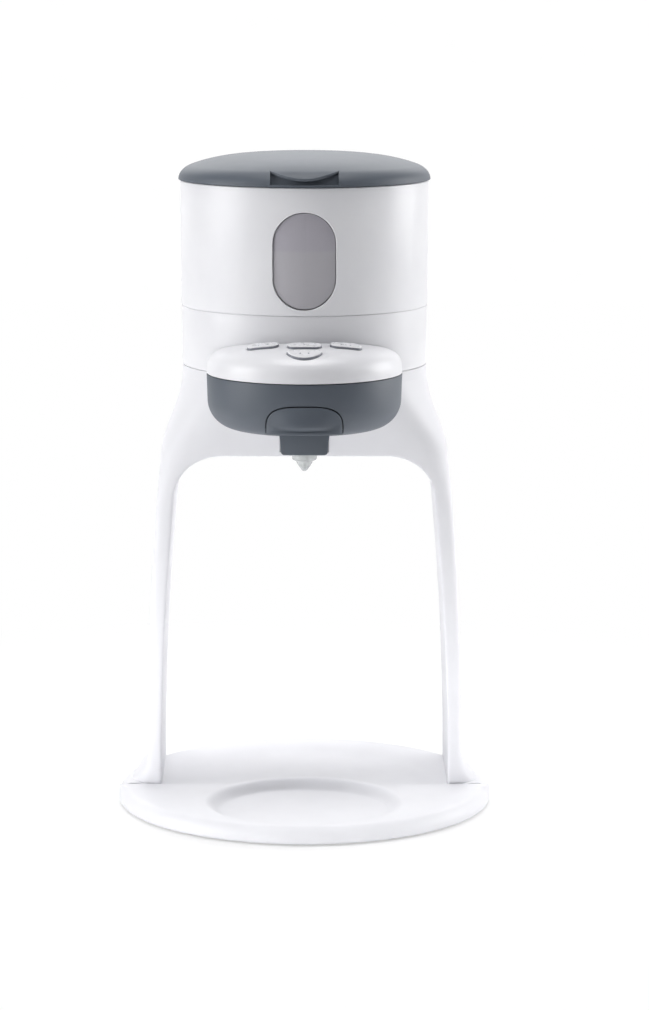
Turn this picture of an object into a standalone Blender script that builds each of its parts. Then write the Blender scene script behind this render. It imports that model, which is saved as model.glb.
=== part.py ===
# Bottle warmer: a water tank and a heating head on an open stand with a round foot.
# Metres, +Z up, the front faces -Y. The origin is the middle of the foot, on the table.
# The pieces stand as they do when the warmer is closed and its tank is seated.

from math import cos, pi, radians, sin, sqrt

import bmesh
import bpy
import numpy as np
from mathutils import Matrix, Vector

# Clearances and overruns
GAP = 0.0003
RUN = 0.0004
SEAM = 0.0004
OVERRUN = 0.003
MERGE = 0.00001
ROUND_STEPS = 40
MIDDLE_STEPS = 20
SMALL_STEPS = 16
PIN_STEPS = 12
SMOOTH_ANGLE = radians(35)

# Main sizes: the foot, the neck and the stack on it
BASE_RADIUS = 0.095
BASE_TOP = 0.009
NECK_TOP = 0.2253
NECK_RADIUS = 0.0611
HOUSING_HEIGHT = 0.0293
HOUSING_TOP = NECK_TOP + SEAM + HOUSING_HEIGHT
SLEEVE_HEIGHT = 0.0618
SLEEVE_TOP = HOUSING_TOP + SEAM + SLEEVE_HEIGHT

# Foot: feet, base plate, stand ring and tray
RIM_ROUND = 0.0062
RIM_WALL = 0.0020
SKIRT_BOTTOM = 0.0010
DECK_BORDER = 0.0290
DISH_RADIUS = BASE_RADIUS - DECK_BORDER
DISH_FLOOR = 0.0052
DISH_LIP = 0.0010
RING_UNDERSIDE = 0.0031
PLATE_UNDERSIDE = 0.0012
PLATE_THICKNESS = 0.0016
PAD_RADIUS = 0.0085
PAD_INSET = 0.0170
PAD_CIRCLE_RADIUS = BASE_RADIUS - PAD_INSET
PAD_ANGLES = {"front_left": 225, "front_right": 315, "rear_left": 118, "rear_right": 62}
SCREW_INSET = 0.0185
SCREW_X = BASE_RADIUS - SCREW_INSET
SCREW_YS = {"front": 0.0060, "rear": 0.0340}
SCREW_HEAD_RADIUS = 0.0030
SCREW_HEAD_THICKNESS = 0.0007
SCREW_SHANK_RADIUS = 0.0012
SCREW_HOLE_RADIUS = 0.0016
SCREW_LENGTH = 0.0090
TRAY_REAR = -0.0073
RING_FRONT = -0.0060
TRAY_WALL = 0.0018
DISH_RIM_SHARE = 0.5
DISH_CENTRE_SHARE = 0.4368
DISH_CENTRE_Y = -BASE_RADIUS * DISH_CENTRE_SHARE
DISH_RIM_RADIUS = BASE_RADIUS * DISH_RIM_SHARE
DISH_WALL_WIDTH = 0.0090
DISH_BOTTOM_RADIUS = DISH_RIM_RADIUS - DISH_WALL_WIDTH
DISH_BOWL_BORDER = 0.0022
DISH_BOWL_RADIUS = DISH_RIM_RADIUS + DISH_BOWL_BORDER
DISH_DEPTH = 0.0046
DISH_EDGE_ROUND = 0.0012

# Stand: two legs that run up into a round neck
NECK_COLLAR_HEIGHT = 0.0053
SHOULDER_TOP = NECK_TOP - NECK_COLLAR_HEIGHT
SHOULDER_DROP = 0.0415
SHOULDER_BOTTOM = SHOULDER_TOP - SHOULDER_DROP
SHOULDER_SPREAD = 0.0113
SHOULDER_HALF_WIDTH = NECK_RADIUS + SHOULDER_SPREAD
LEG_FOOT_INSET = 0.0144
LEG_FOOT_HALF_WIDTH = BASE_RADIUS - LEG_FOOT_INSET
FOOT_FLARE = 0.0086
FOOT_FLARE_HEIGHT = 0.0137
LEG_FOOT_Z = BASE_TOP + FOOT_FLARE_HEIGHT
FOOT_LIMIT_INSET = 0.0005
FOOT_LIMIT_RADIUS = BASE_RADIUS - FOOT_LIMIT_INSET
LOFT_BOTTOM = 0.0040
LEG_FRONT = -0.0070
LEG_REAR_INSET = 0.0021
LEG_REAR = NECK_RADIUS - LEG_REAR_INSET
LEG_STRAIGHT_SHARE = 0.4439
LEG_FRONT_TOP_Z = NECK_TOP * LEG_STRAIGHT_SHARE
FRONT_SWEEP_POWER = 2.4
LEG_BULGE_SHARE = 0.07
SQUARE_TOP_POWER = 2.0
SQUARE_LEG_POWER = 20.0
LEG_FOOT_THICKNESS = 0.0072
LEG_TOP_THICKNESS = 0.0088
ARCH_CROWN_DROP = 0.0438
ARCH_TOP = NECK_TOP - ARCH_CROWN_DROP
ARCH_CORNER_HEIGHT = 0.0245
ARCH_SPRING_Z = ARCH_TOP - ARCH_CORNER_HEIGHT
ARCH_CORNER_WIDTH = 0.0250
SQUARE_FULL_DROP = 0.0070
SQUARE_FULL_Z = ARCH_SPRING_Z - SQUARE_FULL_DROP
SECTION_CROWDING = 1.5
FOOT_SECTIONS = 5
LEG_SECTIONS = 6
SHOULDER_SECTIONS = 9
ARCH_SIDE_STEPS = 6
NECK_WALL = 0.0028
ARCH_CROWN_THICKNESS = 0.0040
NECK_FLOOR = ARCH_TOP + ARCH_CROWN_THICKNESS

# Lower housing between the neck and the tank
HOUSING_SPREAD = 0.0004
HOUSING_TOP_RADIUS = NECK_RADIUS + HOUSING_SPREAD
HOUSING_WALL = 0.0024
HOUSING_DECK = 0.0030
LIP_DEPTH = 0.0045
LIP_WALL = 0.0018
LIP_TAPER = 0.0020

# Heating head: a domed cap with keys over a grey cup
HEAD_RADIUS = 0.0480
HEAD_REACH = 0.0272
HEAD_Y = HEAD_RADIUS - NECK_RADIUS - HEAD_REACH
SPOUT_INSET = 0.0208
SPOUT_Y = SPOUT_INSET - NECK_RADIUS
CAP_HEIGHT = 0.0170
CAP_POWER = 3.0
CAP_WALL = 0.0022
DOME_STEPS = 11
CUP_INSET = 0.0004
CUP_RADIUS = HEAD_RADIUS - CUP_INSET
CUP_DEPTH = 0.0268
CUP_BOTTOM = NECK_TOP - CUP_DEPTH
CUP_ROUND = 0.0140
CUP_WALL = 0.0022
HANDLE_HALF_WIDTH = 0.0182
HANDLE_FOOT_RISE = 0.0025
HANDLE_BOTTOM = CUP_BOTTOM + HANDLE_FOOT_RISE
HANDLE_HEIGHT = 0.0134
HANDLE_TOP = HANDLE_BOTTOM + HANDLE_HEIGHT
HANDLE_TOP_ROUND = 0.0050
HANDLE_BULGE = 0.0022
HANDLE_DEPTH = 0.0060
HANDLE_GAP = 0.0006
HANDLE_SHRINK_SHARE = 0.55
DRAWER_HALF_WIDTH = 0.0118
DRAWER_DROP = 0.0070
DRAWER_BOTTOM = CUP_BOTTOM - DRAWER_DROP
DRAWER_HEIGHT = 0.0115
DRAWER_TOP = DRAWER_BOTTOM + DRAWER_HEIGHT
DRAWER_ROUND = 0.0040
DRAWER_SETBACK = 0.0033
DRAWER_FRONT = HEAD_Y - HEAD_RADIUS + DRAWER_SETBACK
DRAWER_REAR_REACH = 0.0103
DRAWER_REAR = SPOUT_Y + DRAWER_REAR_REACH
FUNNEL_TOP_RADIUS = 0.0085
FUNNEL_BOTTOM_RADIUS = 0.0062
FUNNEL_FLOOR_RISE = 0.0055
FUNNEL_FLOOR = DRAWER_BOTTOM + FUNNEL_FLOOR_RISE
NOZZLE_COLLAR_RADIUS = 0.0062
NOZZLE_COLLAR_HEIGHT = 0.0097
NOZZLE_COLLAR_BOTTOM = DRAWER_BOTTOM - NOZZLE_COLLAR_HEIGHT
NOZZLE_CONE_RADIUS = 0.0038
NOZZLE_STEP_HEIGHT = 0.0013
NOZZLE_CONE_TOP = NOZZLE_COLLAR_BOTTOM - NOZZLE_STEP_HEIGHT
NOZZLE_TIP_RADIUS = 0.0010
NOZZLE_CONE_HEIGHT = 0.0040
NOZZLE_TIP = NOZZLE_CONE_TOP - NOZZLE_CONE_HEIGHT
NOZZLE_BORE_RADIUS = 0.0006
NOZZLE_FLANGE_RADIUS = 0.0058
NOZZLE_FLANGE_THICKNESS = 0.0015
SEAL_THICKNESS = 0.0012
SEAL_INNER_RADIUS = 0.0025
ELBOW_RADIUS = 0.0055
ELBOW_HEIGHT = 0.0090
ELBOW_TOP = DRAWER_TOP + ELBOW_HEIGHT
ELBOW_PIPE_RADIUS = 0.0036
ELBOW_PIPE_RISE = 0.0047
ELBOW_PIPE_Z = DRAWER_TOP + ELBOW_PIPE_RISE
ELBOW_FLANGE_OFFSET = 0.0022
ELBOW_FLANGE_FRONT = SPOUT_Y - ELBOW_FLANGE_OFFSET
ELBOW_FLANGE_THICKNESS = 0.0028
ELBOW_PIPE_LENGTH = 0.0113
ELBOW_PIPE_REAR = SPOUT_Y + ELBOW_PIPE_LENGTH
PASSAGE_HALF_WIDTH = 0.0123
PASSAGE_DROP = 0.0075
PASSAGE_LOW = DRAWER_BOTTOM - PASSAGE_DROP
PASSAGE_HIGH = ELBOW_TOP
PASSAGE_REAR_GAP = 0.0025
PASSAGE_REAR = DRAWER_REAR + PASSAGE_REAR_GAP
PASSAGE_FRONT = -NECK_RADIUS - OVERRUN

# Keys on the cap and the board under them
KEY_PROUD = 0.0013
KEY_THICKNESS = 0.0026
KEY_TRAVEL = 0.0010
KEY_SLOT_GAP = 0.0003
KEY_CORNER = 0.0008
SIDE_KEY_WIDTH = 0.0154
SIDE_KEY_DEPTH = 0.0068
SIDE_KEY_ACROSS_SHARE = 0.4167
SIDE_KEY_X = HEAD_RADIUS * SIDE_KEY_ACROSS_SHARE
SIDE_KEY_SHARE = 0.1434
SIDE_KEY_Y = -NECK_RADIUS - HEAD_REACH * SIDE_KEY_SHARE
SIDE_KEY_TURN = radians(11)
REAR_KEY_WIDTH = 0.0164
REAR_KEY_DEPTH = 0.0072
REAR_KEY_SHARE = 0.2904
REAR_KEY_Y = -NECK_RADIUS - HEAD_REACH * REAR_KEY_SHARE
FRONT_KEY_RADIUS = 0.0086
FRONT_KEY_DEPTH = 0.0068
FRONT_KEY_SHARE = 0.5662
FRONT_KEY_Y = -NECK_RADIUS - HEAD_REACH * FRONT_KEY_SHARE
KEY_STEM_RADIUS = 0.0016
BOARD_RISE = 0.0047
BOARD_TOP = NECK_TOP + BOARD_RISE
BOARD_THICKNESS = 0.0016
BOARD_WIDTH_SHARE = 0.5833
BOARD_HALF_WIDTH = HEAD_RADIUS * BOARD_WIDTH_SHARE
BOARD_BORDER = 0.0050
BOARD_FRONT_RADIUS = HEAD_RADIUS - BOARD_BORDER
BOARD_REAR_SHARE = 0.0515
BOARD_REAR = -NECK_RADIUS - HEAD_REACH * BOARD_REAR_SHARE
SWITCH_SIZE = 0.0050
SWITCH_HEIGHT = 0.0032
POST_ACROSS_SHARE = 0.4792
POST_X = HEAD_RADIUS * POST_ACROSS_SHARE
POST_SHARE = 0.4191
POST_Y = -NECK_RADIUS - HEAD_REACH * POST_SHARE
POST_RADIUS = 0.0028

# Tank: a white sleeve with a window round a frosted vessel, its valve and its lid
SLEEVE_SPREAD = 0.0002
SLEEVE_RADIUS = HOUSING_TOP_RADIUS + SLEEVE_SPREAD
SLEEVE_TOP_SPREAD = 0.0003
SLEEVE_TOP_RADIUS = SLEEVE_RADIUS + SLEEVE_TOP_SPREAD
SLEEVE_WALL = 0.0027
SLEEVE_LEDGE_WIDTH = 0.0117
SLEEVE_LEDGE_RADIUS = SLEEVE_RADIUS - SLEEVE_LEDGE_WIDTH
SLEEVE_LEDGE_THICKNESS = 0.0026
WINDOW_HALF_WIDTH = 0.0153
WINDOW_SILL = 0.0030
WINDOW_LOW = HOUSING_TOP + WINDOW_SILL
WINDOW_BORDER = 0.0119
WINDOW_HIGH = SLEEVE_TOP - WINDOW_BORDER
WINDOW_STEPS = 14
TANK_WALL = 0.0020
TANK_TOP_DROP = 0.0042
TANK_TOP = SLEEVE_TOP - TANK_TOP_DROP
TANK_RIM_ROUND = 0.0010
VALVE_SHARE = 0.3928
VALVE_X = -NECK_RADIUS * VALVE_SHARE
VALVE_Y = NECK_RADIUS * VALVE_SHARE
SPIGOT_RADIUS = 0.0066
SPIGOT_BORE_RADIUS = 0.0050
SPIGOT_REACH = 0.0090
SPIGOT_BOTTOM = HOUSING_TOP - SPIGOT_REACH
CAGE_RADIUS = 0.0090
CAGE_WALL = 0.0016
CAGE_HEIGHT = 0.0146
CAGE_WINDOW_WIDTH = 0.0056
CAGE_WINDOW_HEIGHT = 0.0050
VALVE_LIFT = 0.0024
VALVE_DISC_RADIUS = 0.0062
VALVE_DISC_THICKNESS = 0.0015
VALVE_STEM_RADIUS = 0.0017
VALVE_PIN_RADIUS = 0.0014
VALVE_PIN_HEIGHT = 0.0020
VALVE_SEAL_THICKNESS = 0.0011
SPRING_RADIUS = 0.0040
SPRING_WIRE_RADIUS = 0.0004
SPRING_TURNS = 3
SPRING_POINTS_A_TURN = 9
SOCKET_RADIUS = 0.0115
SOCKET_FLANGE_RADIUS = 0.0150
SOCKET_FLANGE_THICKNESS = 0.0020
SOCKET_BORE_RADIUS = 0.0082
SOCKET_BODY_RADIUS = 0.0102
SOCKET_DEPTH = 0.0150
SOCKET_FLOOR = HOUSING_TOP - SOCKET_DEPTH
SOCKET_FLOOR_THICKNESS = 0.0040
SOCKET_BOTTOM = SOCKET_FLOOR - SOCKET_FLOOR_THICKNESS
SOCKET_NIPPLE_RADIUS = 0.0032
SOCKET_NIPPLE_LENGTH = 0.0050
SOCKET_PIN_RADIUS = 0.0020
SOCKET_SEAL_DROP = 0.0045
SOCKET_SEAL_Z = HOUSING_TOP - SOCKET_SEAL_DROP
SOCKET_SEAL_HEIGHT = 0.0020

# Lid with a finger notch at the front and a hinge behind
LID_OVERHANG = 0.0008
LID_RADIUS = SLEEVE_TOP_RADIUS + LID_OVERHANG
LID_BOTTOM = SLEEVE_TOP + GAP
LID_RIM_WIDTH = 0.0065
LID_RIM_RADIUS = LID_RADIUS - LID_RIM_WIDTH
LID_RIM_HEIGHT = 0.0072
LID_RIM_TOP = LID_BOTTOM + LID_RIM_HEIGHT
LID_CROWN_HEIGHT = 0.0057
LID_TOP = LID_RIM_TOP + LID_CROWN_HEIGHT
LID_CROWN_POWER = 1.75
LID_ROUND_START = 62.0
LID_SKIRT = 0.0128
LID_HOLLOW_RADIUS = LID_RADIUS - LID_SKIRT
LID_WALL = 0.0022
NOTCH_HALF_WIDTH = 0.0165
NOTCH_DEPTH = 0.0098
NOTCH_REAR = NOTCH_DEPTH - LID_RADIUS
TONGUE_SETBACK = 0.0011
TONGUE_FRONT = TONGUE_SETBACK - LID_RADIUS
TONGUE_RADIUS = 0.0219
TONGUE_WALL = 0.0016
TONGUE_LIFT = 0.0002
HINGE_OFFSET = 0.0044
HINGE_Y = LID_RADIUS + HINGE_OFFSET
HINGE_RISE = 0.0040
HINGE_Z = LID_BOTTOM + HINGE_RISE
HINGE_RADIUS = 0.0039
HINGE_PIN_RADIUS = 0.0015
KNUCKLE_HALF_WIDTH = 0.0090
EAR_WIDTH = 0.0050
EAR_ROOT_DROP = 0.0122
EAR_ROOT_Z = SLEEVE_TOP - EAR_ROOT_DROP
EAR_ROOT_DEPTH = 0.0015

# Works inside the neck
CHASSIS_WIDTH_SHARE = 0.7856
CHASSIS_HALF_WIDTH = NECK_RADIUS * CHASSIS_WIDTH_SHARE
CHASSIS_FRONT = -0.0080
CHASSIS_REAR_SHARE = 0.8183
CHASSIS_REAR = NECK_RADIUS * CHASSIS_REAR_SHARE
CHASSIS_THICKNESS = 0.0020
CHASSIS_CORNER = 0.0060
PUMP_X = VALVE_X
PUMP_Y = VALVE_Y
PUMP_RADIUS = 0.0150
PUMP_RISE = 0.0305
PUMP_TOP = NECK_FLOOR + PUMP_RISE
PUMP_INLET_LENGTH = 0.0050
PUMP_INLET_TOP = PUMP_TOP + PUMP_INLET_LENGTH
PUMP_NIPPLE_RADIUS = 0.0030
PUMP_OUTLET_RISE = 0.0115
PUMP_OUTLET_Z = NECK_FLOOR + PUMP_OUTLET_RISE
PUMP_OUTLET_LENGTH = 0.0040
HEATER_LEFT = 0.0060
HEATER_RIGHT_SHARE = 0.7038
HEATER_RIGHT = NECK_RADIUS * HEATER_RIGHT_SHARE
HEATER_FRONT = 0.0060
HEATER_REAR_SHARE = 0.6219
HEATER_REAR = NECK_RADIUS * HEATER_REAR_SHARE
HEATER_RISE = 0.0325
HEATER_TOP = NECK_FLOOR + HEATER_RISE
HEATER_FIN_GAP = 0.0030
HEATER_FIN_PITCH = 0.0072
HEATER_FIN_DEPTH = 0.0080
HEATER_CORNER = 0.0020
HEATER_OUTLET_X = 0.0160
HEATER_OUTLET_LENGTH = 0.0045
HOSE_RADIUS = 0.0040
OUTLET_HOSE_POINTS = 13
POWER_BOARD_WIDTH_SHARE = 0.3764
POWER_BOARD_HALF_WIDTH = NECK_RADIUS * POWER_BOARD_WIDTH_SHARE
POWER_BOARD_SHARE = 0.7692
POWER_BOARD_Y = NECK_RADIUS * POWER_BOARD_SHARE
POWER_BOARD_RISE = 0.0285
POWER_BOARD_TOP = NECK_FLOOR + POWER_BOARD_RISE
GLAND_RISE = 0.0165
GLAND_Z = NECK_FLOOR + GLAND_RISE
GLAND_RADIUS = 0.0050
GLAND_FLANGE_RADIUS = 0.0075
GLAND_FLANGE_THICKNESS = 0.0018
GLAND_LENGTH = 0.0060
GLAND_BORE_RADIUS = 0.0032


# Scene, collections and materials


def clear_scene():
    for old in list(bpy.data.objects):
        bpy.data.objects.remove(old, do_unlink=True)


def new_collection(name, hidden):
    made = bpy.data.collections.new(name)
    bpy.context.scene.collection.children.link(made)
    made.hide_render = hidden
    return made


def finish_material(name, colour, roughness, metallic=0.0, transmission=0.0):
    made = bpy.data.materials.new(name)
    made.use_nodes = True
    shader = made.node_tree.nodes["Principled BSDF"]
    shader.inputs["Base Color"].default_value = (*colour, 1.0)
    shader.inputs["Roughness"].default_value = roughness
    shader.inputs["Metallic"].default_value = metallic
    shader.inputs["Transmission Weight"].default_value = transmission
    return made


clear_scene()
PARTS = new_collection("bottle_warmer", False)
CUTTERS = new_collection("cutters", True)

WHITE = finish_material("white_abs", (0.88, 0.88, 0.89), 0.30)
SATIN_WHITE = finish_material("satin_white_abs", (0.86, 0.86, 0.87), 0.45)
GREY = finish_material("slate_grey_abs", (0.10, 0.115, 0.135), 0.40)
FROSTED = finish_material("frosted_polypropylene", (0.45, 0.43, 0.46), 0.50, transmission=0.3)
CLEAR_SILICONE = finish_material("clear_silicone", (0.75, 0.76, 0.76), 0.35, transmission=0.4)
RUBBER = finish_material("grey_rubber", (0.12, 0.12, 0.13), 0.75)
STEEL = finish_material("zinc_plated_steel", (0.62, 0.62, 0.63), 0.35, 1.0)
ALUMINIUM = finish_material("cast_aluminium", (0.60, 0.60, 0.61), 0.45, 1.0)
BOARD_GREEN = finish_material("circuit_board", (0.03, 0.14, 0.06), 0.45)
BLACK = finish_material("black_nylon", (0.02, 0.02, 0.022), 0.50)
PLATE_PAINT = finish_material("painted_steel", (0.55, 0.55, 0.56), 0.50)


# Shapes


def object_from_bmesh(name, bm):
    mesh = bpy.data.meshes.new(name)
    bm.to_mesh(mesh)
    bm.free()
    made = bpy.data.objects.new(name, mesh)
    PARTS.objects.link(made)
    return made


def block(name, low, high):
    """A box between two corners."""
    bm = bmesh.new()
    bmesh.ops.create_cube(bm, size=1)
    low, high = Vector(low), Vector(high)
    size = high - low
    bmesh.ops.scale(bm, vec=size, verts=bm.verts)
    bmesh.ops.translate(bm, vec=(low + high) / 2, verts=bm.verts)
    return object_from_bmesh(name, bm)


def rod(name, start, end, radius, end_radius=None, steps=SMALL_STEPS):
    """A round bar or cone from one point to another."""
    start, end = Vector(start), Vector(end)
    along = end - start
    turn = Vector((0, 0, 1)).rotation_difference(along).to_matrix().to_4x4()
    bm = bmesh.new()
    bmesh.ops.create_cone(
        bm,
        cap_ends=True,
        segments=steps,
        radius1=radius,
        radius2=radius if end_radius is None else end_radius,
        depth=along.length,
        matrix=Matrix.Translation((start + end) / 2) @ turn,
    )
    return object_from_bmesh(name, bm)


def turned(name, profile, centre=(0, 0), steps=ROUND_STEPS, ring=False):
    """A turned solid: (radius, height) points, down the outer side, round an upright axis."""
    mesh = bpy.data.meshes.new(name)
    count = len(profile)
    edges = [(i, i + 1) for i in range(count - 1)]
    if ring:
        edges.append((count - 1, 0))
    mesh.from_pydata([(radius, 0, height) for radius, height in profile], edges, [])
    made = bpy.data.objects.new(name, mesh)
    made.location = (centre[0], centre[1], 0)
    PARTS.objects.link(made)
    screw = made.modifiers.new("turn", "SCREW")
    screw.axis = "Z"
    screw.angle = 2 * pi
    screw.steps = steps
    screw.render_steps = steps
    screw.use_merge_vertices = True
    screw.merge_threshold = MERGE
    screw.use_smooth_shade = True
    return made


def solid_mesh(made):
    """The object's evaluated shape as a plain mesh object in its place."""
    bpy.context.view_layer.update()
    graph = bpy.context.evaluated_depsgraph_get()
    mesh = bpy.data.meshes.new_from_object(made.evaluated_get(graph))
    bm = bmesh.new()
    bm.from_mesh(mesh)
    bmesh.ops.remove_doubles(bm, verts=bm.verts, dist=MERGE)
    bm.to_mesh(mesh)
    bm.free()
    solid = bpy.data.objects.new(made.name + "_solid", mesh)
    solid.matrix_world = made.matrix_world.copy()
    PARTS.objects.link(solid)
    name = made.name
    bpy.data.objects.remove(made, do_unlink=True)
    solid.name = name
    return solid


def slab(name, outline, low, high, place=None):
    """A flat outline in X and Y drawn up from low to high, then put in place by a matrix."""
    curve = bpy.data.curves.new(name, "CURVE")
    curve.dimensions = "2D"
    curve.fill_mode = "BOTH"
    curve.extrude = (high - low) / 2
    line = curve.splines.new("POLY")
    line.points.add(len(outline) - 1)
    for point, (x, y) in zip(line.points, outline):
        point.co = (x, y, 0, 1)
    line.use_cyclic_u = True
    made = bpy.data.objects.new(name, curve)
    rise = Matrix.Translation((0, 0, (low + high) / 2))
    made.matrix_world = (place or Matrix.Identity(4)) @ rise
    PARTS.objects.link(made)
    return solid_mesh(made)


FACING_FRONT = Matrix.Rotation(pi / 2, 4, "X")


def front_slab(name, outline, front, rear):
    """A flat outline in X and Z, carried from one Y to another."""
    return slab(name, outline, -rear, -front, FACING_FRONT)


def tube(name, route, radius, points=24):
    """A hose on a smooth curve through the route's points."""
    places = smooth_route(route, points)
    curve = bpy.data.curves.new(name, "CURVE")
    curve.dimensions = "3D"
    curve.bevel_depth = radius
    curve.bevel_resolution = 2
    curve.use_fill_caps = True
    line = curve.splines.new("POLY")
    line.points.add(len(places) - 1)
    for point, place in zip(line.points, places):
        point.co = (*place, 1)
    made = bpy.data.objects.new(name, curve)
    PARTS.objects.link(made)
    return solid_mesh(made)


def smooth_route(route, points):
    """Points along a Catmull-Rom curve that passes through each point of the route."""
    knots = [Vector(p) for p in route]
    knots = [2 * knots[0] - knots[1], *knots, 2 * knots[-1] - knots[-2]]
    spans = len(knots) - 3
    places = []
    for share in np.linspace(0, spans, points):
        i = min(int(share), spans - 1)
        t = share - i
        a, b, c, d = knots[i : i + 4]
        bend = 2 * a - 5 * b + 4 * c - d
        twist = 3 * b - a - 3 * c + d
        places.append((2 * b + (c - a) * t + bend * t**2 + twist * t**3) / 2)
    return places


def loft(name, rings):
    """A closed skin over rings of points, from the lowest ring to the highest."""
    rings = np.asarray(rings)
    levels, count = rings.shape[:2]
    first = np.arange(levels - 1)[:, None] * count
    here = np.arange(count)[None, :]
    after = (here + 1) % count
    sides = np.stack([first + here, first + after, first + count + after, first + count + here], -1)
    faces = sides.reshape(-1, 4).tolist()
    faces.append(list(range(count))[::-1])
    faces.append([(levels - 1) * count + i for i in range(count)])
    mesh = bpy.data.meshes.new(name)
    mesh.from_pydata(rings.reshape(-1, 3).tolist(), [], faces)
    made = bpy.data.objects.new(name, mesh)
    PARTS.objects.link(made)
    return made


def combine(piece, other, operation):
    step = piece.modifiers.new(operation.lower(), "BOOLEAN")
    step.operation = operation
    step.object = other
    if other.name in PARTS.objects:
        PARTS.objects.unlink(other)
        CUTTERS.objects.link(other)
    other.hide_render = True
    other.display_type = "WIRE"
    return piece


def cut(piece, *others):
    for other in others:
        combine(piece, other, "DIFFERENCE")
    return piece


def fuse(piece, *others):
    for other in others:
        combine(piece, other, "UNION")
    return piece


def keep_inside(piece, other):
    return combine(piece, other, "INTERSECT")


def soften(piece, width, segments=2):
    """Rounds the sharp edges of a plain block or slab."""
    bevel = piece.modifiers.new("soften", "BEVEL")
    bevel.width = width
    bevel.segments = segments
    bevel.limit_method = "ANGLE"
    bevel.angle_limit = radians(40)
    return piece


def dress(piece, material, parent=None):
    """Gives a finished piece its material, smooth shading and parent."""
    piece.data.materials.clear()
    piece.data.materials.append(material)
    if len(piece.data.polygons):
        piece.data.shade_smooth()
        piece.data.set_sharp_from_angle(angle=SMOOTH_ANGLE)
    if parent is not None:
        piece.parent = parent
        piece.matrix_parent_inverse = parent.matrix_world.inverted()
    return piece


def joint_origin(name, place):
    """An empty on a joint's axis, which carries the pieces that move with it."""
    made = bpy.data.objects.new(name, None)
    made.empty_display_size = HINGE_RADIUS
    made.location = place
    PARTS.objects.link(made)
    bpy.context.view_layer.update()
    return made


def arc(centre, radius, start, end, steps, squash=1.0):
    """Points on an arc, or on an ellipse's where squash isn't 1, angles in degrees."""
    angles = np.radians(np.linspace(start, end, steps + 1))
    return [(centre[0] + radius * cos(a), centre[1] + radius * squash * sin(a)) for a in angles]


def rounded_rectangle(half_width, low, high, corner, steps=4):
    """An outline that is symmetric about the first axis, with round corners."""
    side = half_width - corner
    points = arc((side, high - corner), corner, 0, 90, steps)
    points += arc((-side, high - corner), corner, 90, 180, steps)
    points += arc((-side, low + corner), corner, 180, 270, steps)
    points += arc((side, low + corner), corner, 270, 360, steps)
    return points


def moved(outline, x, y, turn=0.0):
    """The outline turned about its origin and then shifted."""
    across, along = cos(turn), sin(turn)
    return [(x + px * across - py * along, y + px * along + py * across) for px, py in outline]


# Stand: its outline is worked out from height, and each level is a rounded section


def leg_height_share(z):
    return np.clip((SHOULDER_BOTTOM - z) / (SHOULDER_BOTTOM - LEG_FOOT_Z), 0, None)


def stand_half_width(z):
    """Round neck, a smooth shoulder, then legs that spread slowly and flare at the foot."""
    rise = np.clip((SHOULDER_TOP - z) / (SHOULDER_TOP - SHOULDER_BOTTOM), 0, 1)
    shoulder = NECK_RADIUS + (SHOULDER_HALF_WIDTH - NECK_RADIUS) * rise**2 * (3 - 2 * rise)
    spread = 1 - (1 - np.clip(leg_height_share(z), 0, 1)) ** 2
    flare = np.clip((LEG_FOOT_Z - z) / (LEG_FOOT_Z - BASE_TOP), 0, 1) ** 2
    return shoulder + (LEG_FOOT_HALF_WIDTH - SHOULDER_HALF_WIDTH) * spread + FOOT_FLARE * flare


def stand_front(z):
    """The front sweeps back from the neck to the legs' flat fronts."""
    rise = np.clip((z - LEG_FRONT_TOP_Z) / (SHOULDER_TOP - LEG_FRONT_TOP_Z), 0, 1)
    return LEG_FRONT - (NECK_RADIUS + LEG_FRONT) * rise**FRONT_SWEEP_POWER


def stand_rear(z):
    rise = np.clip((z - LEG_FRONT_TOP_Z) / (SHOULDER_TOP - LEG_FRONT_TOP_Z), 0, 1)
    return LEG_REAR + (NECK_RADIUS - LEG_REAR) * rise


def stand_section(z, inset):
    """One level of the stand: a circle at the neck that squares up towards the legs."""
    drop = np.clip((SHOULDER_TOP - z) / (SHOULDER_TOP - SQUARE_FULL_Z), 0, 1)
    power = SQUARE_TOP_POWER * (SQUARE_LEG_POWER / SQUARE_TOP_POWER) ** drop
    half_width = stand_half_width(z) - inset
    front, rear = stand_front(z) + inset, stand_rear(z) - inset
    middle, half_depth = (front + rear) / 2, (rear - front) / 2
    side = np.linspace(-1, 1, ROUND_STEPS // 4, endpoint=False)
    quarter = pi / 4 * (1 + np.sign(side) * np.abs(side) ** SECTION_CROWDING)
    angle = np.concatenate([quarter + turn * pi / 2 for turn in range(4)])
    reach = (np.abs(np.cos(angle)) ** power + np.abs(np.sin(angle)) ** power) ** (-1 / power)
    x = half_width * np.cos(angle) * reach
    y = middle + half_depth * np.sin(angle) * reach
    x = x * (1 - LEG_BULGE_SHARE * drop * (y / LEG_REAR) ** 2)
    far = np.maximum(np.hypot(x, y), MERGE)
    draw_in = np.minimum(1, (FOOT_LIMIT_RADIUS - inset) / far)
    return np.stack([x * draw_in, y * draw_in, np.full_like(x, z)], -1)


def stand_levels(low, high):
    """Heights of the sections, closest together where the form turns most."""
    foot = np.linspace(LOFT_BOTTOM, LEG_FOOT_Z, FOOT_SECTIONS)
    legs = np.linspace(LEG_FOOT_Z, SHOULDER_BOTTOM, LEG_SECTIONS)[1:]
    shoulder = np.linspace(SHOULDER_BOTTOM, SHOULDER_TOP, SHOULDER_SECTIONS)[1:]
    levels = np.concatenate([foot, legs, shoulder])
    inside = levels[(levels > low + MERGE) & (levels < high - MERGE)]
    return [low, *inside, high]


def stand_form(name, inset, low, high):
    return loft(name, [stand_section(z, inset) for z in stand_levels(low, high)])


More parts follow.
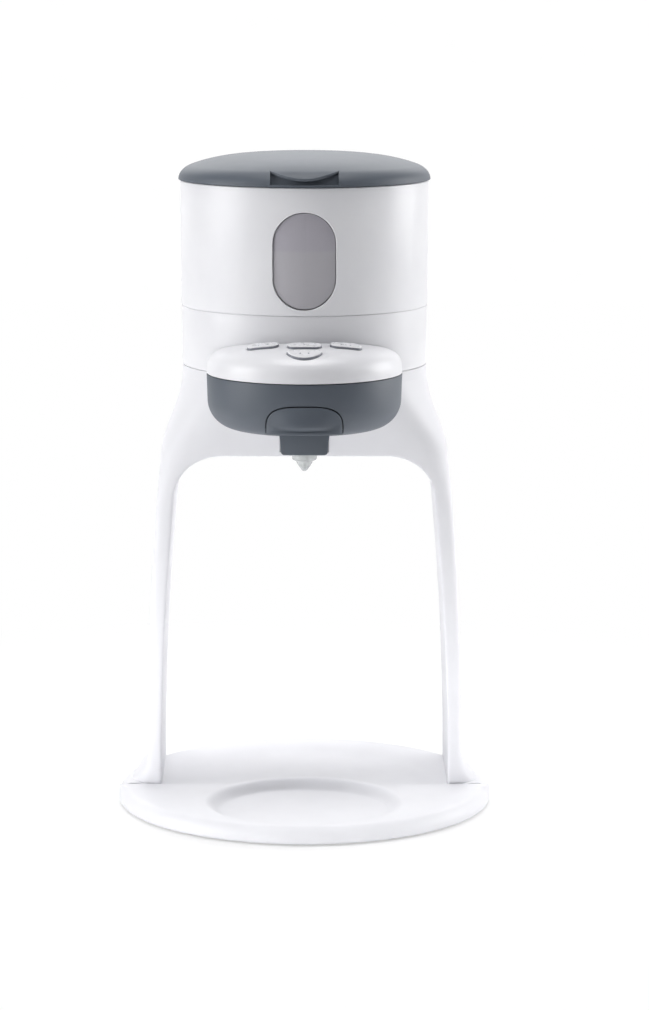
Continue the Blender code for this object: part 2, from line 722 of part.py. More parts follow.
def arch_outline():
    """The opening between the legs, seen from the front."""
    heights = np.linspace(-OVERRUN, ARCH_SPRING_Z, ARCH_SIDE_STEPS)
    growth = (LEG_TOP_THICKNESS - LEG_FOOT_THICKNESS) / ARCH_SPRING_Z
    inner = stand_half_width(np.maximum(heights, LEG_FOOT_Z)) - LEG_FOOT_THICKNESS - growth * heights
    corner_x = inner[-1] - ARCH_CORNER_WIDTH
    squash = (ARCH_TOP - ARCH_SPRING_Z) / ARCH_CORNER_WIDTH
    bend = arc((corner_x, ARCH_SPRING_Z), ARCH_CORNER_WIDTH, 0, 90, 8, squash)
    right = list(zip(inner, heights)) + bend[1:]
    return right + [(-x, z) for x, z in reversed(right)]


def base_rim(outer_radius):
    """The rounded rim of the foot, from its top edge down to the skirt."""
    top_start = outer_radius - RIM_ROUND
    wall = outer_radius - RIM_WALL
    return [
        *arc((top_start, BASE_TOP - RIM_ROUND), RIM_ROUND, 90, 0, 5),
        (outer_radius - SKIRT_BOTTOM / 2, SKIRT_BOTTOM),
        (wall - SKIRT_BOTTOM / 2, SKIRT_BOTTOM),
    ]


def make_stand():
    stand = stand_form("stand_frame", 0, LOFT_BOTTOM, NECK_TOP)
    cut(stand, front_slab("arch_opening", arch_outline(), -BASE_RADIUS, BASE_RADIUS))
    cut(stand, stand_form("neck_hollow", NECK_WALL, NECK_FLOOR, NECK_TOP + OVERRUN))
    cut(
        stand,
        block(
            "spout_passage",
            (-PASSAGE_HALF_WIDTH, PASSAGE_FRONT, PASSAGE_LOW),
            (PASSAGE_HALF_WIDTH, PASSAGE_REAR, PASSAGE_HIGH),
        ),
    )
    gland_start, gland_end = (0, NECK_RADIUS / 2, GLAND_Z), (0, BASE_RADIUS, GLAND_Z)
    cut(stand, rod("gland_hole", gland_start, gland_end, GLAND_RADIUS + GAP))
    join_foot_ring(stand)
    for name, x, y in screw_places():
        hole_top = PLATE_UNDERSIDE + SCREW_LENGTH + GAP
        hole = rod(f"{name}_hole", (x, y, -OVERRUN), (x, y, hole_top), SCREW_HOLE_RADIUS, steps=PIN_STEPS)
        cut(stand, hole)
    return dress(stand, SATIN_WHITE)


def soft_step(start, end, steps):
    """Points of a smooth S from one (radius, height) point to another, without the first."""
    shares = np.linspace(0, 1, steps + 1)[1:]
    across = start[0] + (end[0] - start[0]) * shares
    up = start[1] + (end[1] - start[1]) * shares**2 * (3 - 2 * shares)
    return list(zip(across.tolist(), up.tolist()))


def join_foot_ring(stand):
    """The rear half of the foot: a shallow dished deck with a bay for the tray's bowl."""
    wall = BASE_RADIUS - RIM_WALL
    deck_edge = (BASE_RADIUS - RIM_ROUND - DISH_LIP, BASE_TOP)
    ring = turned(
        "foot_ring",
        [
            (0, DISH_FLOOR),
            (DISH_RADIUS, DISH_FLOOR),
            *soft_step((DISH_RADIUS, DISH_FLOOR), deck_edge, 5),
            *base_rim(BASE_RADIUS),
            (wall, RING_UNDERSIDE),
            (0, RING_UNDERSIDE),
        ],
    )
    far = BASE_RADIUS + OVERRUN
    cut(ring, block("front_half", (-far, -far, -OVERRUN), (far, RING_FRONT, BASE_TOP + OVERRUN)))
    bay_low, bay_high = (0, DISH_CENTRE_Y, -OVERRUN), (0, DISH_CENTRE_Y, BASE_TOP + OVERRUN)
    cut(ring, rod("bowl_bay", bay_low, bay_high, DISH_BOWL_RADIUS + RUN + GAP, steps=ROUND_STEPS))
    fuse(stand, ring)


def screw_places():
    """Names and places of the four screws that hold the base plate to the legs."""
    return [
        (f"base_screw_{where}_{side}", sign * SCREW_X, y)
        for where, y in SCREW_YS.items()
        for side, sign in (("left", -1), ("right", 1))
    ]


def make_foot():
    plate_top = PLATE_UNDERSIDE + PLATE_THICKNESS
    radius = BASE_RADIUS - RIM_WALL - SKIRT_BOTTOM / 2 - GAP
    plate = turned(
        "base_plate",
        [(0, plate_top), (radius, plate_top), (radius, PLATE_UNDERSIDE), (0, PLATE_UNDERSIDE)],
    )
    for name, x, y in screw_places():
        top = (x, y, BASE_TOP)
        cut(plate, rod(f"{name}_clearance", (x, y, -OVERRUN), top, SCREW_HOLE_RADIUS, steps=PIN_STEPS))
        head_top = PLATE_UNDERSIDE - GAP
        screw = turned(
            name,
            [
                (0, head_top + SCREW_LENGTH - SCREW_HEAD_THICKNESS),
                (SCREW_SHANK_RADIUS, head_top + SCREW_LENGTH - SCREW_HEAD_THICKNESS),
                (SCREW_SHANK_RADIUS, head_top),
                (SCREW_HEAD_RADIUS, head_top),
                (SCREW_HEAD_RADIUS, head_top - SCREW_HEAD_THICKNESS),
                (0, head_top - SCREW_HEAD_THICKNESS),
            ],
            (x, y),
            PIN_STEPS,
        )
        dress(screw, STEEL)
    dress(plate, PLATE_PAINT)
    pad_top = PLATE_UNDERSIDE - GAP
    for where, degrees in PAD_ANGLES.items():
        x, y = PAD_CIRCLE_RADIUS * cos(radians(degrees)), PAD_CIRCLE_RADIUS * sin(radians(degrees))
        pad = rod(f"foot_pad_{where}", (x, y, 0), (x, y, pad_top), PAD_RADIUS)
        dress(pad, RUBBER)


def make_tray():
    """The front half of the foot lifts off; its round dish holds the bottle and catches drips."""
    origin = joint_origin("tray_slide_origin", (0, DISH_CENTRE_Y, BASE_TOP))
    inner = BASE_RADIUS - RIM_WALL
    tray = turned(
        "drip_tray",
        [
            (0, BASE_TOP),
            *base_rim(BASE_RADIUS),
            (inner, BASE_TOP - RIM_ROUND),
            (inner - RIM_ROUND + TRAY_WALL, BASE_TOP - TRAY_WALL),
            (0, BASE_TOP - TRAY_WALL),
        ],
    )
    far = BASE_RADIUS + OVERRUN
    cut(tray, block("rear_half", (-far, TRAY_REAR, -OVERRUN), (far, far, BASE_TOP + OVERRUN)))
    underside = PLATE_UNDERSIDE + PLATE_THICKNESS + GAP
    centre = (0, DISH_CENTRE_Y)
    edge = DISH_EDGE_ROUND
    bowl = turned(
        "dish_bowl",
        [
            (0, BASE_TOP),
            *arc((DISH_BOWL_RADIUS - edge, BASE_TOP - edge), edge, 90, 0, 2),
            (DISH_BOWL_RADIUS, underside),
            (0, underside),
        ],
        centre,
    )
    fuse(tray, bowl)
    floor, top = BASE_TOP - DISH_DEPTH, BASE_TOP + OVERRUN
    rim = (DISH_RIM_RADIUS, BASE_TOP)
    wall = soft_step(rim, (DISH_BOTTOM_RADIUS, floor), 6)
    cut(tray, turned("dish_hollow", [(0, top), (DISH_RIM_RADIUS, top), rim, *wall, (0, floor)], centre))
    return dress(tray, SATIN_WHITE, origin)


# Lower housing and the cord's inlet


def make_housing():
    top, seam = HOUSING_TOP, NECK_TOP + SEAM
    inner = HOUSING_TOP_RADIUS - HOUSING_WALL
    lip = NECK_RADIUS - NECK_WALL - GAP
    housing = turned(
        "lower_housing",
        [
            (0, top),
            (HOUSING_TOP_RADIUS, top),
            (NECK_RADIUS, seam),
            (lip, seam),
            (lip, seam - LIP_DEPTH),
            (lip - LIP_WALL, seam - LIP_DEPTH),
            (lip - LIP_WALL, seam),
            (inner - HOUSING_WALL / 2, seam + LIP_TAPER),
            (inner, top - HOUSING_DECK),
            (0, top - HOUSING_DECK),
        ],
    )
    low, high = (VALVE_X, VALVE_Y, NECK_TOP), (VALVE_X, VALVE_Y, top + OVERRUN)
    cut(housing, rod("socket_hole", low, high, SOCKET_RADIUS + GAP, steps=MIDDLE_STEPS))
    return dress(housing, WHITE)


def make_gland():
    """The inlet for the cord at the back of the neck; the cord itself isn't part of the model."""
    face = float(stand_rear(GLAND_Z)) + GAP
    rear = face + GLAND_FLANGE_THICKNESS
    inside = face - GLAND_LENGTH
    gland = rod("cord_gland", (0, face, GLAND_Z), (0, rear, GLAND_Z), GLAND_FLANGE_RADIUS)
    fuse(gland, rod("gland_body", (0, inside, GLAND_Z), (0, rear - GAP, GLAND_Z), GLAND_RADIUS))
    bore_start, bore_end = (0, inside - OVERRUN, GLAND_Z), (0, rear + OVERRUN, GLAND_Z)
    cut(gland, rod("gland_bore", bore_start, bore_end, GLAND_BORE_RADIUS))
    return dress(gland, RUBBER)


# Head: cap, cup, keys, board


def cap_height(radius_share):
    """Height of the domed cap over its rim, by a superellipse in the share of its radius."""
    return CAP_HEIGHT * (1 - np.minimum(radius_share, 1) ** CAP_POWER) ** (1 / CAP_POWER)


def cap_surface(x, y):
    """Height of the cap's outer face over a place on the deck."""
    share = sqrt(x**2 + (y - HEAD_Y) ** 2) / HEAD_RADIUS
    return NECK_TOP + SEAM + float(cap_height(share))


def dome_profile(radius, height, base, steps):
    """Radius and height of a superellipse dome, from its middle down to its rim."""
    slant = np.linspace(pi / 2, 0, steps)
    reach = (np.cos(slant) ** CAP_POWER + np.sin(slant) ** CAP_POWER) ** (-1 / CAP_POWER)
    across, up = radius * np.cos(slant) * reach, base + height * np.sin(slant) * reach
    across[0], up[-1] = 0, base
    return list(zip(across.tolist(), up.tolist()))


def key_shapes():
    """Name, outline and middle of each key on the deck."""
    side_half, rear_half = SIDE_KEY_DEPTH / 2, REAR_KEY_DEPTH / 2
    side = rounded_rectangle(SIDE_KEY_WIDTH / 2, -side_half, side_half, KEY_CORNER, 2)
    rear = rounded_rectangle(REAR_KEY_WIDTH / 2, -rear_half, rear_half, KEY_CORNER, 2)
    front = arc((0, 0), FRONT_KEY_RADIUS, 180, 360, 12, FRONT_KEY_DEPTH / FRONT_KEY_RADIUS)
    return {
        "key_left": (moved(side, -SIDE_KEY_X, SIDE_KEY_Y, -SIDE_KEY_TURN), (-SIDE_KEY_X, SIDE_KEY_Y)),
        "key_right": (moved(side, SIDE_KEY_X, SIDE_KEY_Y, SIDE_KEY_TURN), (SIDE_KEY_X, SIDE_KEY_Y)),
        "key_rear": (moved(rear, 0, REAR_KEY_Y), (0, REAR_KEY_Y)),
        "key_front": (moved(front, 0, FRONT_KEY_Y), (0, FRONT_KEY_Y - FRONT_KEY_DEPTH / 2)),
    }


def grown(outline, middle, gap):
    """The outline moved outwards from its middle by a gap."""
    out = []
    for x, y in outline:
        dx, dy = x - middle[0], y - middle[1]
        far = sqrt(dx**2 + dy**2)
        out.append((x + dx / far * gap, y + dy / far * gap))
    return out


def make_cap():
    base = NECK_TOP + SEAM
    outer = dome_profile(HEAD_RADIUS, CAP_HEIGHT, base, DOME_STEPS)
    inner = dome_profile(HEAD_RADIUS - CAP_WALL, CAP_HEIGHT - CAP_WALL, base, DOME_STEPS - 4)
    cap = turned("head_cap", outer + inner[::-1], (0, HEAD_Y))
    high = base + CAP_HEIGHT + OVERRUN
    fit = HOUSING_TOP_RADIUS + GAP
    cut(cap, rod("cap_body_fit", (0, 0, NECK_TOP - OVERRUN), (0, 0, high), fit, steps=ROUND_STEPS))
    for name, (outline, middle) in key_shapes().items():
        slot = grown(outline, middle, KEY_SLOT_GAP * sqrt(2))
        cut(cap, slab(f"{name}_slot", slot, base, high))
    return dress(cap, WHITE)


def switch_places():
    return [middle for _, middle in key_shapes().values()]


def make_board():
    side = np.degrees(np.arccos(BOARD_HALF_WIDTH / BOARD_FRONT_RADIUS))
    front = arc((0, HEAD_Y), BOARD_FRONT_RADIUS, 180 + side, 360 - side, 12)
    outline = [(BOARD_HALF_WIDTH, BOARD_REAR), (-BOARD_HALF_WIDTH, BOARD_REAR), *front]
    board = slab("control_board", outline, BOARD_TOP - BOARD_THICKNESS, BOARD_TOP)
    half = SWITCH_SIZE / 2
    for number, (x, y) in enumerate(switch_places()):
        y = min(y, BOARD_REAR - half)
        low, high = BOARD_TOP - BOARD_THICKNESS / 2, BOARD_TOP + SWITCH_HEIGHT
        fuse(board, block(f"switch_{number}", (x - half, y - half, low), (x + half, y + half, high)))
    return dress(board, BOARD_GREEN)


def make_keys():
    for name, (outline, middle) in key_shapes().items():
        x, y = middle
        top = cap_surface(x, y) + KEY_PROUD
        origin = joint_origin(f"{name}_origin", (x, y, top))
        key = slab(name, outline, top - KEY_THICKNESS - KEY_PROUD, top + KEY_PROUD)
        dome = dome_profile(HEAD_RADIUS + KEY_PROUD, CAP_HEIGHT, NECK_TOP + SEAM + KEY_PROUD, DOME_STEPS)
        keep_inside(key, turned(f"{name}_crown", [*dome, (0, NECK_TOP)], (0, HEAD_Y)))
        foot_y = min(y, BOARD_REAR - SWITCH_SIZE / 2)
        foot = BOARD_TOP + SWITCH_HEIGHT + KEY_TRAVEL + GAP
        stem_top = (x, foot_y, top - KEY_THICKNESS)
        fuse(key, rod(f"{name}_stem", (x, foot_y, foot), stem_top, KEY_STEM_RADIUS, steps=PIN_STEPS))
        dress(key, WHITE, origin)


def make_cup():
    top = NECK_TOP
    corner_z = CUP_BOTTOM + CUP_ROUND
    inner = CUP_ROUND - CUP_WALL
    middle = CUP_RADIUS - CUP_ROUND
    profile = [(0, CUP_BOTTOM + CUP_WALL), (middle, CUP_BOTTOM + CUP_WALL)]
    profile += arc((middle, corner_z), inner, 270, 360, 4)[1:]
    profile += [(HEAD_RADIUS - CUP_WALL, top), (HEAD_RADIUS, top)]
    profile += arc((middle, corner_z), CUP_ROUND, 360, 270, 7)
    profile += [(0, CUP_BOTTOM)]
    cup = turned("head_cup", profile, (0, HEAD_Y))
    cut(cup, stand_form("cup_stand_fit", -GAP, DRAWER_BOTTOM, NECK_TOP + OVERRUN))
    outline = handle_outline(HANDLE_GAP, DRAWER_BOTTOM)
    front = HEAD_Y - HEAD_RADIUS - OVERRUN
    notch_rear = HEAD_Y - HEAD_RADIUS + HANDLE_DEPTH + HANDLE_GAP
    cut(cup, front_slab("handle_notch", outline, front, notch_rear))
    slot = DRAWER_HALF_WIDTH + GAP
    cut(cup, block("drawer_slot", (-slot, front, DRAWER_BOTTOM), (slot, PASSAGE_REAR, DRAWER_TOP + GAP)))
    for side in (-1, 1):
        x = side * POST_X
        post_low = (x, POST_Y, CUP_BOTTOM + CUP_WALL / 2)
        post_high = (x, POST_Y, BOARD_TOP - BOARD_THICKNESS - GAP)
        fuse(cup, rod(f"post_{side}", post_low, post_high, POST_RADIUS, steps=PIN_STEPS))
    return dress(cup, GREY)


# Spout carrier: a drawer with a domed handle that holds the nozzle


def handle_outline(grow, bottom):
    """The handle seen from the front: flat foot, rounded shoulders and a slightly domed top."""
    half, corner = HANDLE_HALF_WIDTH + grow, HANDLE_TOP_ROUND + grow
    top = HANDLE_TOP + grow
    shoulder = arc((half - corner, top - corner), corner, 0, 90, 5)
    return [(half, bottom), *shoulder, *[(-x, z) for x, z in reversed(shoulder)], (-half, bottom)]


def make_spout():
    origin = joint_origin("spout_slide_origin", (0, SPOUT_Y, DRAWER_BOTTOM))
    front = HEAD_Y - HEAD_RADIUS
    middle_z = (HANDLE_TOP + HANDLE_BOTTOM) / 2
    outline = handle_outline(0, HANDLE_BOTTOM)
    rings = []
    for share in np.linspace(0, 1, 5):
        rise = sqrt(1 - (1 - share) ** 2)
        shrink = HANDLE_SHRINK_SHARE + (1 - HANDLE_SHRINK_SHARE) * rise
        y = front - HANDLE_BULGE + HANDLE_BULGE * share
        rings.append([(x * shrink, y, middle_z + (z - middle_z) * shrink) for x, z in outline])
    rings.append([(x, front + HANDLE_DEPTH, z) for x, z in outline])
    carrier = loft("spout_carrier", rings)
    low, high = DRAWER_BOTTOM, DRAWER_TOP
    tray = rounded_rectangle(DRAWER_HALF_WIDTH, low, high + DRAWER_ROUND, DRAWER_ROUND, 4)
    drawer = front_slab("drawer_body", tray, DRAWER_FRONT, DRAWER_REAR)
    over = (DRAWER_HALF_WIDTH + OVERRUN, DRAWER_REAR + OVERRUN, high + 2 * DRAWER_ROUND)
    cut(drawer, block("drawer_top_cut", (-DRAWER_HALF_WIDTH - OVERRUN, DRAWER_FRONT - OVERRUN, high), over))
    fuse(carrier, drawer)
    centre = (0, SPOUT_Y)
    seat = DRAWER_BOTTOM + NOZZLE_FLANGE_THICKNESS + SEAL_THICKNESS + 3 * GAP
    cut(
        carrier,
        turned(
            "funnel_hollow",
            [
                (0, high + OVERRUN),
                (FUNNEL_TOP_RADIUS, high + OVERRUN),
                (FUNNEL_TOP_RADIUS, high),
                (FUNNEL_BOTTOM_RADIUS, FUNNEL_FLOOR),
                (SEAL_INNER_RADIUS, FUNNEL_FLOOR),
                (SEAL_INNER_RADIUS, seat),
                (NOZZLE_FLANGE_RADIUS + GAP, seat),
                (NOZZLE_FLANGE_RADIUS + GAP, low - OVERRUN),
                (0, low - OVERRUN),
            ],
            centre,
            MIDDLE_STEPS,
        ),
    )
    dress(carrier, GREY, origin)
    flange_top = DRAWER_BOTTOM + NOZZLE_FLANGE_THICKNESS
    nozzle = turned(
        "spout_nozzle",
        [
            (NOZZLE_BORE_RADIUS, flange_top),
            (NOZZLE_FLANGE_RADIUS, flange_top),
            (NOZZLE_FLANGE_RADIUS, low - GAP),
            (NOZZLE_COLLAR_RADIUS, low - GAP),
            (NOZZLE_COLLAR_RADIUS, NOZZLE_COLLAR_BOTTOM),
            (NOZZLE_CONE_RADIUS, NOZZLE_CONE_TOP),
            (NOZZLE_TIP_RADIUS, NOZZLE_TIP),
            (NOZZLE_BORE_RADIUS, NOZZLE_TIP),
        ],
        centre,
        MIDDLE_STEPS,
        ring=True,
    )
    dress(nozzle, CLEAR_SILICONE, origin)
    seal_low = flange_top + GAP
    seal = turned(
        "nozzle_seal",
        [
            (SEAL_INNER_RADIUS, seal_low + SEAL_THICKNESS),
            (NOZZLE_FLANGE_RADIUS - GAP, seal_low + SEAL_THICKNESS),
            (NOZZLE_FLANGE_RADIUS - GAP, seal_low),
            (SEAL_INNER_RADIUS, seal_low),
        ],
        centre,
        SMALL_STEPS,
        ring=True,
    )
    dress(seal, RUBBER, origin)


def make_elbow():
    """The fixed outlet over the funnel, held by its flange in the stand's spout passage."""
    foot = DRAWER_TOP + GAP
    elbow = rod("spout_elbow", (0, SPOUT_Y, foot), (0, SPOUT_Y, ELBOW_TOP), ELBOW_RADIUS)
    pipe_start, pipe_end = (0, SPOUT_Y, ELBOW_PIPE_Z), (0, ELBOW_PIPE_REAR, ELBOW_PIPE_Z)
    pipe = rod("elbow_pipe", pipe_start, pipe_end, ELBOW_PIPE_RADIUS)
    half = PASSAGE_HALF_WIDTH - GAP
    flange = block(
        "elbow_flange",
        (-half, ELBOW_FLANGE_FRONT, DRAWER_TOP + 2 * GAP),
        (half, ELBOW_FLANGE_FRONT + ELBOW_FLANGE_THICKNESS, PASSAGE_HIGH - GAP),
    )
    fuse(elbow, pipe, flange)
    dress(elbow, BLACK)


# Tank: sleeve, vessel, valve


def window_outline(grow):
    half = WINDOW_HALF_WIDTH + grow
    low, high = WINDOW_LOW + WINDOW_HALF_WIDTH, WINDOW_HIGH - WINDOW_HALF_WIDTH
    return arc((0, high), half, 0, 180, WINDOW_STEPS) + arc((0, low), half, 180, 360, WINDOW_STEPS)


def make_tank():
    origin = joint_origin("tank_lift_origin", (0, 0, HOUSING_TOP))
    bottom = HOUSING_TOP + SEAM
    inner = SLEEVE_RADIUS - SLEEVE_WALL
    ledge_top = bottom + SLEEVE_LEDGE_THICKNESS
    sleeve = turned(
        "tank_sleeve",
        [
            (SLEEVE_TOP_RADIUS, SLEEVE_TOP),
            (SLEEVE_RADIUS, bottom),
            (SLEEVE_LEDGE_RADIUS, bottom),
            (SLEEVE_LEDGE_RADIUS, ledge_top),
            (inner, ledge_top),
            (inner, SLEEVE_TOP),
        ],
        ring=True,
    )
    cut(sleeve, front_slab("window_hole", window_outline(0), -SLEEVE_RADIUS - OVERRUN, -inner / 2))
    ear_low = KNUCKLE_HALF_WIDTH + GAP
    for side in (-1, 1):
        near, far = sorted((side * ear_low, side * (ear_low + EAR_WIDTH)))
        fuse(sleeve, side_slab(f"hinge_ear_{side}", ear_outline(), near, far))
    reach = ear_low + EAR_WIDTH + OVERRUN
    pin_hole = HINGE_PIN_RADIUS + GAP
    cut(sleeve, rod("pin_hole", (-reach, HINGE_Y, HINGE_Z), (reach, HINGE_Y, HINGE_Z), pin_hole))
    dress(sleeve, WHITE, origin)

    vessel_radius = inner - GAP
    low, round_ = ledge_top + GAP, TANK_RIM_ROUND
    bore, wall = vessel_radius - TANK_WALL, TANK_WALL
    vessel = turned(
        "water_tank",
        [
            (0, low + wall),
            (bore - wall, low + wall),
            (bore, low + 2 * wall),
            (bore, TANK_TOP - round_),
            (bore + wall / 2, TANK_TOP),
            (vessel_radius, TANK_TOP - round_),
            (vessel_radius, low + wall),
            (vessel_radius - wall, low),
            (0, low),
        ],
    )
    spigot = (VALVE_X, VALVE_Y)
    fuse(vessel, rod("spigot", (*spigot, SPIGOT_BOTTOM), (*spigot, low + wall / 2), SPIGOT_RADIUS))
    floor = low + wall
    bore_low, bore_high = (*spigot, SPIGOT_BOTTOM - OVERRUN), (*spigot, floor + OVERRUN)
    cut(vessel, rod("spigot_bore", bore_low, bore_high, SPIGOT_BORE_RADIUS))
    dress(vessel, FROSTED, origin)
    make_valve(origin, floor)
    pin_end = reach - OVERRUN
    pin = rod("hinge_pin", (-pin_end, HINGE_Y, HINGE_Z), (pin_end, HINGE_Y, HINGE_Z), HINGE_PIN_RADIUS)
    dress(pin, STEEL, origin)


def side_slab(name, outline, left, right):
    """A flat outline in Y and Z, carried from one X to another."""
    turn = Matrix(((0, 0, 1, 0), (1, 0, 0, 0), (0, 1, 0, 0), (0, 0, 0, 1)))
    return slab(name, outline, left, right, turn)


def ear_outline():
    """A hinge ear from the side: a foot on the sleeve and a round head behind the lid's rim."""
    head = arc((HINGE_Y, HINGE_Z), HINGE_RADIUS, 0, 180, 10)
    inside = SLEEVE_RADIUS - EAR_ROOT_DEPTH
    shelf = SLEEVE_TOP - GAP
    foot = [(HINGE_Y - HINGE_RADIUS, shelf), (inside, shelf), (inside, EAR_ROOT_Z)]
    return [(HINGE_Y + HINGE_RADIUS, SLEEVE_TOP), *head, *foot]


def make_valve(origin, floor):
    """A sprung plunger in a cage: the socket's pin holds it open while the tank is seated."""
    centre = (VALVE_X, VALVE_Y)
    cage_low = floor + GAP
    cage_top = cage_low + CAGE_HEIGHT
    bore = CAGE_RADIUS - CAGE_WALL
    cage = turned(
        "valve_cage",
        [
            (0, cage_top),
            (CAGE_RADIUS, cage_top),
            (CAGE_RADIUS, cage_low),
            (bore, cage_low),
            (bore, cage_top - CAGE_WALL),
            (0, cage_top - CAGE_WALL),
        ],
        centre,
        SMALL_STEPS,
    )
    window_low = cage_low + CAGE_WALL
    reach, half = CAGE_RADIUS + OVERRUN, CAGE_WINDOW_WIDTH / 2
    for name, dx, dy in (("cage_window_x", reach, half), ("cage_window_y", half, reach)):
        low_corner = (VALVE_X - dx, VALVE_Y - dy, window_low)
        high_corner = (VALVE_X + dx, VALVE_Y + dy, window_low + CAGE_WINDOW_HEIGHT)
        cut(cage, block(name, low_corner, high_corner))
    dress(cage, BLACK, origin)

    seal_low = floor + GAP + VALVE_LIFT
    seal_top = seal_low + VALVE_SEAL_THICKNESS
    disc_low = seal_top + GAP
    disc_top = disc_low + VALVE_DISC_THICKNESS
    pin_top = SOCKET_FLOOR + valve_pin_length()
    plunger_origin = joint_origin("valve_slide_origin", (*centre, floor))
    plunger_origin.parent = origin
    plunger_origin.matrix_parent_inverse = origin.matrix_world.inverted()
    bpy.context.view_layer.update()
    plunger = turned(
        "valve_plunger",
        [
            (0, disc_top + VALVE_PIN_HEIGHT),
            (VALVE_PIN_RADIUS, disc_top + VALVE_PIN_HEIGHT),
            (VALVE_PIN_RADIUS, disc_top),
            (VALVE_DISC_RADIUS, disc_top),
            (VALVE_DISC_RADIUS, disc_low),
            (VALVE_STEM_RADIUS, disc_low),
            (VALVE_STEM_RADIUS, pin_top + GAP),
            (0, pin_top + GAP),
        ],
        centre,
        SMALL_STEPS,
    )
    dress(plunger, BLACK, plunger_origin)
    seal = turned(
        "valve_seal",
        [
            (VALVE_STEM_RADIUS + GAP, seal_top),
            (VALVE_DISC_RADIUS, seal_top),
            (VALVE_DISC_RADIUS, seal_low),
            (VALVE_STEM_RADIUS + GAP, seal_low),
        ],
        centre,
        SMALL_STEPS,
        ring=True,
    )
    dress(seal, RUBBER, plunger_origin)

    low = disc_top + SPRING_WIRE_RADIUS + GAP
    high = cage_top - CAGE_WALL - SPRING_WIRE_RADIUS - GAP
    count = SPRING_TURNS * SPRING_POINTS_A_TURN + 1
    angle = np.linspace(0, 2 * pi * SPRING_TURNS, count)
    across = VALVE_X + SPRING_RADIUS * np.cos(angle)
    along = VALVE_Y + SPRING_RADIUS * np.sin(angle)
    coil = np.stack([across, along, np.linspace(low, high, count)], -1)
    apart = (high - low) / SPRING_TURNS - 2 * SPRING_WIRE_RADIUS
    print(f"valve_spring: least gap between turns {apart:.5f} m")
    curve = bpy.data.curves.new("valve_spring", "CURVE")
    curve.dimensions = "3D"
    curve.bevel_depth = SPRING_WIRE_RADIUS
    curve.bevel_resolution = 1
    curve.use_fill_caps = True
    line = curve.splines.new("POLY")
    line.points.add(count - 1)
    for point, place in zip(line.points, coil.tolist()):
        point.co = (*place, 1)
    spring = bpy.data.objects.new("valve_spring", curve)
    PARTS.objects.link(spring)
    dress(solid_mesh(spring), STEEL, origin)


def valve_pin_length():
    """The socket's pin ends inside the spigot, a little above its mouth."""
    return SPIGOT_BOTTOM - SOCKET_FLOOR + SOCKET_PIN_RADIUS


def make_socket():
    """The seat under the tank's spigot, with its pin and seal."""
    centre = (VALVE_X, VALVE_Y)
    under_deck = HOUSING_TOP - HOUSING_DECK - GAP
    flange_low = under_deck - SOCKET_FLANGE_THICKNESS
    pin_top = SOCKET_FLOOR + valve_pin_length()
    nipple_end = SOCKET_BOTTOM - SOCKET_NIPPLE_LENGTH
    socket = turned(
        "tank_socket",
        [
            (0, pin_top),
            (SOCKET_PIN_RADIUS, pin_top),
            (SOCKET_PIN_RADIUS, SOCKET_FLOOR),
            (SOCKET_BORE_RADIUS, SOCKET_FLOOR),
            (SOCKET_BORE_RADIUS, HOUSING_TOP - GAP),
            (SOCKET_RADIUS, HOUSING_TOP - GAP),
            (SOCKET_RADIUS, under_deck),
            (SOCKET_FLANGE_RADIUS, under_deck),
            (SOCKET_FLANGE_RADIUS, flange_low),
            (SOCKET_BODY_RADIUS, flange_low),
            (SOCKET_BODY_RADIUS, SOCKET_BOTTOM),
            (SOCKET_NIPPLE_RADIUS, SOCKET_BOTTOM),
            (SOCKET_NIPPLE_RADIUS, nipple_end),
            (0, nipple_end),
        ],
        centre,
        MIDDLE_STEPS,
    )
    dress(socket, BLACK)
    seal = turned(
        "socket_seal",
        [
            (SPIGOT_RADIUS + GAP, SOCKET_SEAL_Z + SOCKET_SEAL_HEIGHT),
            (SOCKET_BORE_RADIUS - GAP, SOCKET_SEAL_Z + SOCKET_SEAL_HEIGHT),
            (SOCKET_BORE_RADIUS - GAP, SOCKET_SEAL_Z),
            (SPIGOT_RADIUS + GAP, SOCKET_SEAL_Z),
        ],
        centre,
        SMALL_STEPS,
        ring=True,
    )
    dress(seal, RUBBER)


# Lid


def lid_profile(steps):
    """The lid's outer face: a shallow crown, then a tight round down to the rim."""
    slant = np.linspace(0, 1, steps)
    crown_drop = (LID_TOP - LID_RIM_TOP) * slant**LID_CROWN_POWER
    crown = list(zip((LID_RIM_RADIUS * slant).tolist(), (LID_TOP - crown_drop).tolist()))
    width, height = LID_RADIUS - LID_RIM_RADIUS, LID_RIM_TOP - LID_BOTTOM
    start = LID_ROUND_START
    rim = []
    for degrees in np.linspace(start, 0, 6)[1:]:
        a = radians(degrees)
        share = sin(a) / sin(radians(start))
        across = (cos(a) - cos(radians(start))) / (1 - cos(radians(start)))
        rim.append((LID_RIM_RADIUS + width * across, LID_BOTTOM + height * share))
    return crown + rim


